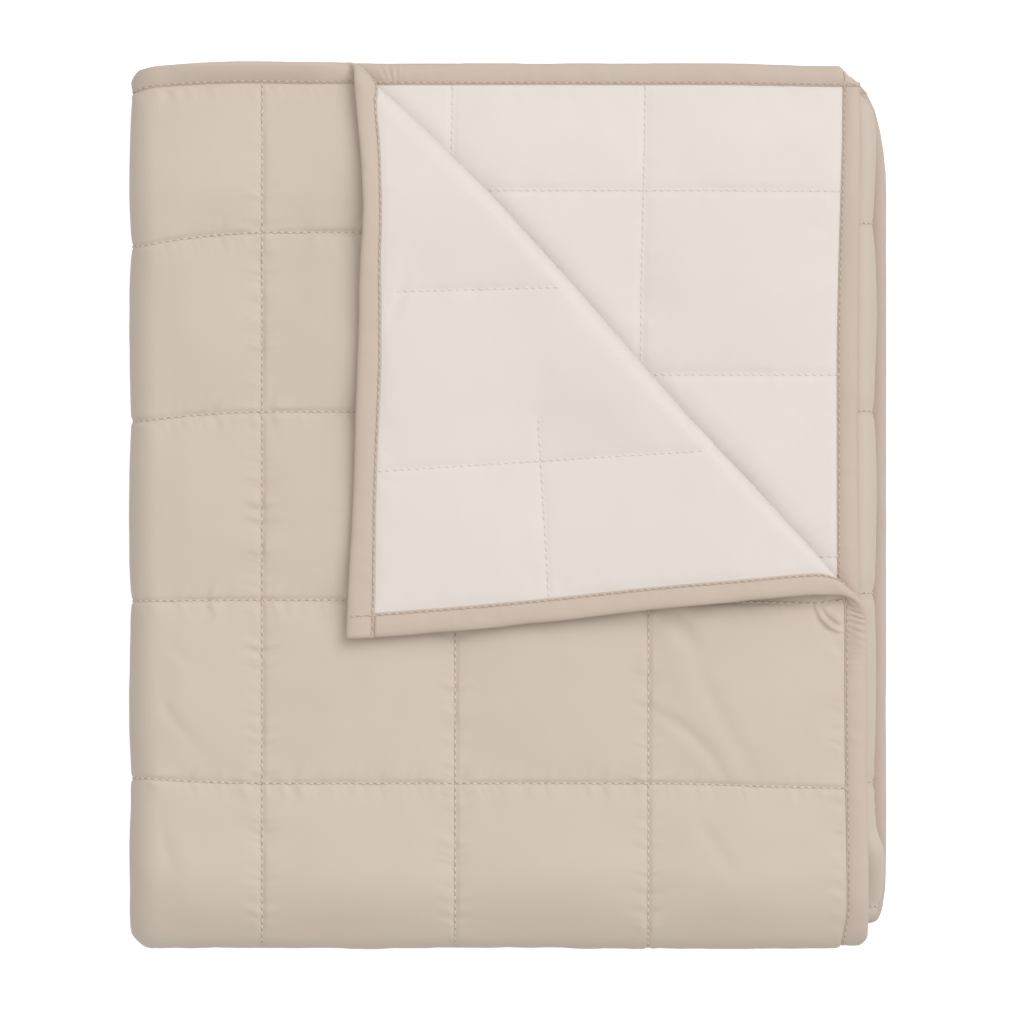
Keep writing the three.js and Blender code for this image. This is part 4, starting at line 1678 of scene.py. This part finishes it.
class BindingStrip:
    """A strip of cloth folded round one edge of the quilt and stitched through."""

    FIRST_SEED = 101
    SIDE_STEP = 311.0

    def __init__(self, edge: Edge, sheet: FoldedSheet, sizes: BindingSizes) -> None:
        """Keeps the edge, the folded sheet and the sizes.

        Args:
            edge: which edge the strip binds.
            sheet: how the sheet is folded.
            sizes: section and steps.
        """
        self.edge = edge
        self.sheet = sheet
        self.sizes = sizes
        self.pack = sheet.pack
        self.gathers = [gather for gather in sizes.gathers if gather.edge is edge]
        self.ripple = Ripple(self.FIRST_SEED + list(Edge).index(edge))

    @property
    def is_long(self) -> bool:
        """True for the two strips that run along the sheet."""
        return self.edge in (Edge.FRONT, Edge.BACK)

    @property
    def length(self) -> float:
        """Length of the strip's cloth."""
        return self.pack.sheet_length if self.is_long else self.pack.sheet_width - 2 * self.sizes.width

    def flat(self, along: Array, inset: Array) -> Flat:
        """Flat points given along the strip and in from its edge.

        Args:
            along: lengths along the strip.
            inset: distances from the edge.

        Returns:
            The flat points.
        """
        far = self.edge in (Edge.BACK, Edge.UNDER_END)
        if self.is_long:
            return Flat(along, self.pack.sheet_width - inset if far else inset)
        return Flat(self.pack.sheet_length - inset if far else inset, along)

    def stations(self) -> Array:
        """Lengths along the strip where its section is set: close on the bends and where it shows.

        Returns:
            The lengths in order.
        """
        pack, sizes = self.pack, self.sizes
        if self.is_long:
            start, end = 0.0, pack.sheet_length
            shown, bends = pack.first_fold, list(pack.turns)
        else:
            start, end = sizes.width + sizes.end_gap, pack.sheet_width - sizes.width - sizes.end_gap
            shown, bends = 0.0, [pack.half_fold]
        if self.edge is Edge.TOP_END:
            shown = pack.sheet_width
        probe = np.linspace(start, end, int((end - start) / sizes.probe_step))
        at = self.flat(probe, np.full_like(probe, sizes.probe_inset))
        _, past = self.sheet.fold_coordinates(at)
        margin = sizes.flap_margin
        bent = probe[(past > -margin) & (past < self.sheet.bend_length + margin) & self.sheet.is_upper(at)]
        if len(bent):
            bends.append((bent[0], bent[-1]))
        step = np.where(probe < shown, sizes.shown_step, sizes.hidden_step)
        for first, last in bends:
            step[(probe > first - sizes.bend_margin) & (probe < last + sizes.bend_margin)] = sizes.bend_step
        for gather in self.gathers:
            step[np.abs(probe - gather.middle) < sizes.gather_margin * gather.reach] = sizes.gather_step
        passed = np.concatenate([[0.0], np.cumsum(np.diff(probe) / step[1:])])
        return np.interp(np.linspace(0.0, passed[-1], math.ceil(passed[-1]) + 1), passed, probe)

    def section(self) -> Array:
        """The closed section, from its stitched edge on the face round to the reverse, and back inside."""
        outer, inner = np.array(self.sizes.outer), np.array(self.sizes.inner)
        return np.concatenate([outer, outer[-2::-1] * (1.0, -1.0), inner * (1.0, -1.0), inner[::-1]])

    def gathered(self, along: Array, inset: Array, height: Array) -> Array:
        """Height of the puckers and the small folds on the outside of the strip.

        Args:
            along: lengths along the strip.
            inset: distances from the edge.
            height: heights of the section.

        Returns:
            The height that each point stands out by.
        """
        sizes = self.sizes
        leaned = (along + sizes.pucker_lean * inset) / sizes.pucker_spacing
        raised = sizes.pucker.at(inset) * self.ripple.at(leaned + np.sign(height) * self.SIDE_STEP)
        for gather in self.gathers:
            spacing = sizes.gather_spacing * (1.0 - sizes.gather_fan * inset / sizes.width)
            turns = 2 * math.pi * (along - gather.middle + gather.reach) / spacing
            fold = np.sin(turns + self.ripple.at(along / sizes.pucker_spacing))
            fold = gather.height * fold * bell(along, gather.middle, gather.reach)
            raised = raised + fold * bell(inset, sizes.gather_inset, sizes.gather_depth)
        return raised

    def build(self) -> Object:
        """Sweeps the section along the edge.

        Returns:
            The strip object.
        """
        sizes, section, stations = self.sizes, self.section(), self.stations()
        count, total = len(section), len(stations)
        along = np.repeat(stations, count)
        inset, height = np.tile(section, (total, 1)).T
        outside = np.tile(np.arange(count) < 2 * len(sizes.outer) - 1, total)
        wave = sizes.wave * self.ripple.at(along / sizes.wave_spacing)
        inset = inset + outside * wave * smooth(inset, sizes.width, sizes.width / 2)
        height = height + outside * np.sign(height) * self.gathered(along, inset, height)
        points = self.sheet.place(self.flat(along, np.maximum(inset, 0.0)), height)
        steps = np.linalg.norm(np.diff(section, axis=0), axis=1)
        girth = np.concatenate([[0.0], np.cumsum(steps)])
        faces = [list(range(count)), list(range(total * count - 1, (total - 1) * count - 1, -1))]
        for row in range(0, (total - 1) * count, count):
            for j in range(count):
                k = (j + 1) % count
                faces.append([row + j, row + count + j, row + count + k, row + k])
        if self.edge in (Edge.FRONT, Edge.UNDER_END):
            faces = [face[::-1] for face in faces]
        flat = np.column_stack([along, np.tile(girth, total)])
        return make_piece(self.edge.value + "_strip", points, faces, flat)


@dataclass(frozen=True)
class StitchSizes:
    """Sizes of a lockstitch, and of the dark gap pieces between its stitches, which are painted shade for
    the groove that it pulls into the cloth.
    """

    pitch: float = 4.9
    length: float = 3.6
    thread: float = 1.3
    sunk: float = 0.3
    reverse_sunk: float = 0.2
    gap: float = 1.9
    gap_sink: float = 0.3
    sample: float = 1.5
    rounds: int = 6
    fewest: int = 4
    corner_from: float = 3.0
    corner_margin: float = 2.0
    corner_points: int = 7
    seed: int = 5

    @property
    def lift(self) -> float:
        """Height of a thread's middle over the cloth."""
        return self.thread / 2 - self.sunk


class StitchTree:
    """Geometry Nodes that lay stitches along lines."""

    OUTWARD = "outward"
    INPUTS = {
        "Pitch": "Float", "Length": "Float", "Thread": "Float", "Gap": "Float", "Sink": "Vector",
        "Seed": "Int", "Finish": "Material", "Gap Shade": "Material",
    }
    LEAST = (0.9, 0.9, 0.9)
    MOST = (1.06, 1.1, 1.1)
    BALL = {"Segments": 6, "Rings": 5, "Radius": 0.5}

    def __init__(self, name: str) -> None:
        """Builds the tree and keeps the identifiers of its inputs.

        Args:
            name: name of the tree.
        """
        self.tree = bpy.data.node_groups.new(name, "GeometryNodeTree")
        face = self.tree.interface
        self.sockets: dict[str, str] = {}
        face.new_socket("Geometry", in_out="INPUT", socket_type="NodeSocketGeometry")
        for label, kind in self.INPUTS.items():
            socket = face.new_socket(label, in_out="INPUT", socket_type="NodeSocket" + kind)
            self.sockets[label] = socket.identifier
        face.new_socket("Geometry", in_out="OUTPUT", socket_type="NodeSocketGeometry")
        self.build()

    def build(self) -> None:
        """Adds the nodes: even points on a curve, a thread and a dark gap piece of painted shade by turns,
        both realized.
        """
        node = partial(add_node, self.tree)
        given = node("NodeGroupInput").outputs
        curve = node("GeometryNodeMeshToCurve", Mesh=given["Geometry"])
        half_pitch = node("ShaderNodeMath", {"operation": "MULTIPLY"}, given["Pitch"], 0.5)
        even = node("GeometryNodeResampleCurve", {"mode": "LENGTH"}, Curve=curve, Length=half_pitch)
        place = node("GeometryNodeSplineParameter").outputs["Index"]
        odd = node("ShaderNodeMath", {"operation": "MODULO"}, place, 2.0)
        stitch = node("FunctionNodeBooleanMath", {"operation": "NOT"}, odd)
        tangent = node("GeometryNodeInputTangent")
        along = node("FunctionNodeAlignRotationToVector", {"axis": "X"}, Vector=tangent)
        outward = node("GeometryNodeInputNamedAttribute", {"data_type": "FLOAT_VECTOR"}, Name=self.OUTWARD)
        turn = node(
            "FunctionNodeAlignRotationToVector", {"axis": "Z", "pivot_axis": "X"},
            Rotation=along, Vector=outward.outputs["Attribute"],
        )
        vary = node(
            "FunctionNodeRandomValue", {"data_type": "FLOAT_VECTOR"},
            Min=self.LEAST, Max=self.MOST, Seed=given["Seed"],
        )
        ball = node("GeometryNodeMeshUVSphere", **self.BALL)
        both = node("GeometryNodeJoinGeometry")
        # The gap pieces are painted shade: dark capsules between the threads, sunk into the groove.
        kinds = (("Pitch", "Gap", odd, "Gap Shade"), ("Length", "Thread", stitch, "Finish"))
        for length, width, chosen, finish in kinds:
            size = node("ShaderNodeCombineXYZ", None, given[length], given[width], given[width])
            sized = node("GeometryNodeTransform", Geometry=ball, Scale=size)
            laid = node(
                "GeometryNodeInstanceOnPoints", Points=even, Selection=chosen, Instance=sized,
                Rotation=turn, Scale=vary,
            )
            if chosen is odd:
                move = {"Translation": given["Sink"], "Local_Space": True}
                laid = node("GeometryNodeTranslateInstances", Instances=laid, **move)
            real = node("GeometryNodeRealizeInstances", Geometry=laid)
            soft = node("GeometryNodeSetShadeSmooth", Geometry=real)
            dressed = node("GeometryNodeSetMaterial", Geometry=soft, Material=given[finish])
            self.tree.links.new(dressed.outputs[0], both.inputs[0])
        node("NodeGroupOutput", Geometry=both)


class Stitching:
    """Stitches of the quilting and of the bindings, where they show."""

    def __init__(self, quilting: Quilting, binding: BindingSizes, sizes: StitchSizes) -> None:
        """Keeps the quilting and the sizes, and builds the tree.

        Args:
            quilting: heights that the stitches lie on.
            binding: section of the bindings.
            sizes: sizes of a stitch.
        """
        self.quilting = quilting
        self.sheet = quilting.sheet
        self.pack = quilting.pack
        self.binding = binding
        self.sizes = sizes
        self.tree = StitchTree("stitch_lines")

    def run(self, start: Two, end: Two) -> Pair:
        """The two coordinates of close points along a straight line."""
        count = max(2, int(math.dist(start, end) / self.sizes.sample))
        return np.linspace(start[0], end[0], count), np.linspace(start[1], end[1], count)

    def laid(self, at: Flat, height: Array, side: Side) -> Array:
        """Places of a line of stitches on cloth, with the way out of the cloth at each.

        Args:
            at: flat points.
            height: heights of the cloth over the sheet's middle.
            side: side of the sheet.

        Returns:
            One row of x, y and z and an outward direction for each point.
        """
        lift = self.sizes.lift
        place = self.sheet.place(at, height + side.value * lift)
        outward = self.sheet.place(at, height + side.value * (lift + 1.0)) - place
        place[:, 2] = np.maximum(place[:, 2], self.sizes.thread / 2)
        return np.hstack([place, outward])

    def shown_runs(self, at: Flat, shown: Array, side: Side) -> list[Array]:
        """Lays a line on the quilt where it shows, deeper on the soft reverse.

        Args:
            at: flat points of the line.
            shown: whether each point shows.
            side: side of the sheet.

        Returns:
            The places of each run that shows.
        """
        sunk = 0.0 if side is Side.FACE else self.sizes.reverse_sunk
        runs = []
        for part in np.split(np.arange(len(shown)), np.flatnonzero(np.diff(shown.astype(int))) + 1):
            if shown[part[0]] and len(part) >= self.sizes.fewest:
                cut = at.chosen(part)
                runs.append(self.laid(cut, self.quilting.height(cut, side) - side.value * sunk, side))
        return runs

    def unflap(self, x: Array, y: Array) -> Flat:
        """Flat points that come to lie at plan positions on the flap, found step by step.

        Args:
            x: plan positions.
            y: plan positions.

        Returns:
            The flat points.
        """
        sheet, pack = self.sheet, self.pack
        guess_x, guess_y = x, y
        for _ in range(self.sizes.rounds):
            along, beyond = sheet.from_fold(guess_x, guess_y)
            past = (sheet.bend_length - beyond) / sheet.stretch
            flat_x, flat_y = sheet.to_plan(along + sheet.shear * beyond, past)
            at = Flat(pack.panel_from[0] - flat_x, pack.open_edge - flat_y)
            lies_x, lies_y = sheet.flap_plan(at)
            guess_x = guess_x + x - lies_x
            guess_y = guess_y + y - lies_y
        return at

    def face_lines(self, quilt: Quilt) -> list[Array]:
        """Quilting lines on the beige face: the front, and round the folds at both sides.

        Args:
            quilt: says where the flap hides the front.

        Returns:
            The places along each line.
        """
        pack, sizes = self.pack, self.quilting.sizes
        _, left = pack.turns[0]
        upper = [row for row in sizes.rows if row < pack.arm_length]
        lower = [row for row in sizes.rows if row >= pack.arm_length]
        columns = sizes.columns[:sizes.shown_columns]
        tracks = [self.run((column, sizes.seam), (column, pack.second_start)) for column in columns]
        tracks += [self.run((sizes.seam, row), (left, row)) for row in upper]
        lines = []
        for at in (Flat(*track) for track in tracks):
            _, past = self.sheet.fold_coordinates(at)
            y, _, _, _ = self.sheet.hairpin(at.b)
            shown = (past < 0.0) & ~quilt.under_flap(pack.panel_from[0] - at.a, y)
            lines += self.shown_runs(at, shown, Side.FACE)
        for (first, last), rows in zip(pack.turns[1:], (lower, upper)):
            for row in rows:
                at = Flat(*self.run((first, row), (last, row)))
                lines += self.shown_runs(at, np.ones(len(at.a), bool), Side.FACE)
        return lines

    def reverse_lines(self) -> list[Array]:
        """Quilting lines on the cream reverse: the flap, and the second layer beyond the fold.

        Returns:
            The places along each line.
        """
        pack, sheet, sizes = self.pack, self.sheet, self.quilting.sizes
        lines = []
        for line in FLAP_LINES:
            at = self.unflap(*self.run((line.x1, line.y1), (line.x2, line.y2)))
            _, past = sheet.fold_coordinates(at)
            shown = (past > sheet.bend_length) & (np.minimum(at.a, at.b) > sizes.seam)
            lines += self.shown_runs(at, shown, Side.REVERSE)
        start, end = pack.second_start, pack.sheet_width - sizes.seam
        tracks = [self.run((column, start), (column, end)) for column in sizes.columns[:sizes.shown_columns]]
        tracks += [self.run((sizes.seam, row), (pack.first_fold, row)) for row in sizes.rows if row > start]
        for at in (Flat(*track) for track in tracks):
            lines += self.shown_runs(at, sheet.beyond_fold(at) > -sheet.flap.bend, Side.REVERSE)
        return lines

    def binding_lines(self, strips: list[BindingStrip]) -> list[Array]:
        """Stitch lines near the inner edges of the bindings and across their corners, on both sides.

        Args:
            strips: the four bindings.

        Returns:
            The places along each line.
        """
        pack, binding, sizes = self.pack, self.binding, self.sizes
        insets, heights = np.array(sorted(binding.outer)).T
        tracks = []
        for strip in strips:
            start = binding.stitch_start if strip.is_long else binding.width
            end = pack.turns[0][1] if strip.is_long else pack.sheet_width - binding.width
            along = np.arange(start, end, sizes.sample)
            inset = np.full_like(along, binding.stitch_inset)
            tracks.append((strip.flat(along, inset), inset))
        corner = np.linspace(sizes.corner_from, binding.width - sizes.corner_margin, sizes.corner_points)
        for b in (corner, pack.sheet_width - corner):
            tracks.append((Flat(np.full_like(corner, binding.stitch_inset), b), corner))
        lines = []
        for at, inset in tracks:
            seat = np.interp(inset, insets, heights)
            lines += [self.laid(at, side.value * seat, side) for side in Side]
        return lines

    def build(self, name: str, lines: list[Array], finish: ThreadAndShadeFinish, gap_shade: ThreadAndShadeFinish) -> Object:
        """Lays stitches along lines and makes them a plain mesh.

        Args:
            name: name of the piece.
            lines: places along each line in millimetres, each with its outward direction.
            finish: finish of the thread.
            gap_shade: material of the gap pieces, coloured darker than the cloth as painted shade in the
                groove.

        Returns:
            The stitches as one object.
        """
        sizes, rows, edges, start = self.sizes, np.concatenate(lines), [], 0
        for line in lines:
            edges += [(start + k, start + k + 1) for k in range(len(line) - 1)]
            start += len(line)
        track = bpy.data.meshes.new(name + "_track")
        track.from_pydata((rows[:, :3] * MM).tolist(), edges, [])
        outward = track.attributes.new(StitchTree.OUTWARD, "FLOAT_VECTOR", "POINT")
        outward.data.foreach_set("vector", rows[:, 3:].astype(np.float32).ravel())
        guide = add_object(name + "_guide", track)
        modifier = guide.modifiers.new("stitches", "NODES")
        modifier.node_group = self.tree.tree
        values = {
            "Pitch": sizes.pitch * MM, "Length": sizes.length * MM, "Thread": sizes.thread * MM,
            "Gap": sizes.gap * MM, "Sink": (0.0, 0.0, -(sizes.lift + sizes.gap_sink * sizes.gap) * MM),
            "Seed": sizes.seed, "Finish": finish.build(), "Gap Shade": gap_shade.build(),
        }
        for label, value in values.items():
            modifier[self.tree.sockets[label]] = value
        graph = bpy.context.evaluated_depsgraph_get()
        mesh = bpy.data.meshes.new_from_object(guide.evaluated_get(graph), depsgraph=graph)
        mesh.name = name
        if StitchTree.OUTWARD in mesh.attributes:
            mesh.attributes.remove(mesh.attributes[StitchTree.OUTWARD])
        bpy.data.objects.remove(guide)
        return add_object(name, mesh)


@dataclass(frozen=True)
class Lamp:
    """A soft light: its share of a white floor's brightness, its width in degrees and its direction."""

    name: str
    share: float
    spread: float
    direction: tuple[float, float, float]


@dataclass(frozen=True)
class Studio:
    """A pale floor, a white surround, soft lights overhead and a camera straight above, in metres."""

    floor_size: float = 60.0
    floor_colour: str = "#F4F4F4"
    floor_roughness: float = 0.9
    floor_glow: float = 0.55
    surround: float = 0.54
    lens: float = 800.0
    frame_width: float = 0.67584
    sensor: float = 36.0
    centre: Two = (0.00264, -0.00429)
    top_plane: float = 0.055
    clip_end: float = 100.0
    lamp_distance: float = 3.0
    lamps: tuple[Lamp, ...] = (
        Lamp("overhead_light", 0.20, 50.0, (0.0, 0.0, 1.0)),
        Lamp("side_light", 0.27, 42.0, (0.7, 0.7, 1.0)),
    )

    def build(self) -> None:
        """Makes the floor, the surround, the lights and the camera."""
        scene = bpy.context.scene
        scene.view_settings.view_transform = "Standard"
        self.floor()
        scene.world = bpy.data.worlds.new("white_surround")
        scene.world.use_nodes = True
        tree = scene.world.node_tree
        tree.nodes.clear()
        light = add_node(tree, "ShaderNodeBackground", Color=linear(WHITE), Strength=self.surround)
        add_node(tree, "ShaderNodeOutputWorld", Surface=light)
        for lamp in self.lamps:
            self.hang(lamp)
        self.camera()

    def floor(self) -> None:
        """Makes the pale floor, with a faint glow so that it reads as white paper."""
        half = self.floor_size / 2
        mesh = bpy.data.meshes.new("floor")
        corners = [(-half, -half, 0), (half, -half, 0), (half, half, 0), (-half, half, 0)]
        mesh.from_pydata(corners, [], [(0, 1, 2, 3)])
        floor = add_object("floor", mesh)
        paper = new_material("white_paper_floor")
        shader = add_node(
            paper.node_tree, "ShaderNodeBsdfPrincipled", Base_Color=linear(self.floor_colour),
            Roughness=self.floor_roughness, Emission_Color=linear(WHITE), Emission_Strength=self.floor_glow,
        )
        add_node(paper.node_tree, "ShaderNodeOutputMaterial", Surface=shader)
        mesh.materials.append(paper)
        floor.visible_diffuse = False

    def hang(self, lamp: Lamp) -> None:
        """Makes a soft light that is even over the whole pack.

        Args:
            lamp: the light's sizes.
        """
        towards = Vector(lamp.direction).normalized()
        light = bpy.data.lights.new(lamp.name, "SUN")
        light.energy = lamp.share * math.pi / towards.z
        light.angle = math.radians(lamp.spread)
        hung = add_object(lamp.name, light)
        hung.location = towards * self.lamp_distance
        hung.rotation_euler = towards.to_track_quat("Z", "Y").to_euler()

    def camera(self) -> None:
        """Makes the camera straight above, with a long lens."""
        lens = bpy.data.cameras.new("camera")
        lens.lens = self.lens
        lens.sensor_width = self.sensor
        lens.clip_end = self.clip_end
        camera = add_object("camera", lens)
        height = self.frame_width * self.lens / self.sensor
        camera.location = (*self.centre, self.top_plane + height)
        bpy.context.scene.camera = camera


def main() -> None:
    logging.basicConfig(level=logging.INFO, format="%(name)s: %(message)s")
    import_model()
    pack = PackSizes()
    sheet = FoldedSheet(pack, FlapSizes(), CornerSizes())
    quilting = Quilting(sheet, QuiltingSizes())
    binding = BindingSizes()
    maker = Quilt(quilting, QuiltMeshSizes())
    quilt = maker.build()
    strips = [BindingStrip(edge, sheet, binding) for edge in Edge]
    bound = [strip.build() for strip in strips]
    cloth = BINDING_CLOTH.build()
    for piece in bound:
        piece.data.materials.append(cloth)
    sewing = Stitching(quilting, binding, StitchSizes())
    face_lines = sewing.face_lines(maker)
    threads = [
        sewing.build("face_quilting_stitches", face_lines, FACE_THREAD, FACE_GAP_SHADE),
        sewing.build("reverse_quilting_stitches", sewing.reverse_lines(), REVERSE_THREAD, REVERSE_GAP_SHADE),
    ]
    edging = sewing.build("binding_stitches", sewing.binding_lines(strips), BINDING_THREAD, BINDING_GAP_SHADE)
    for piece in [quilt, *bound, *threads, edging]:
        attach(piece, BODY)
        piece.data.calc_loop_triangles()
        LOG.info("%s: %d triangles", piece.name, len(piece.data.loop_triangles))
    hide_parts(Quilt.CAD_NODE)
    for strip, piece in zip(strips, bound):
        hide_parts(strip.edge.value)
    Studio().build()


if __name__ == "__main__":
    main()
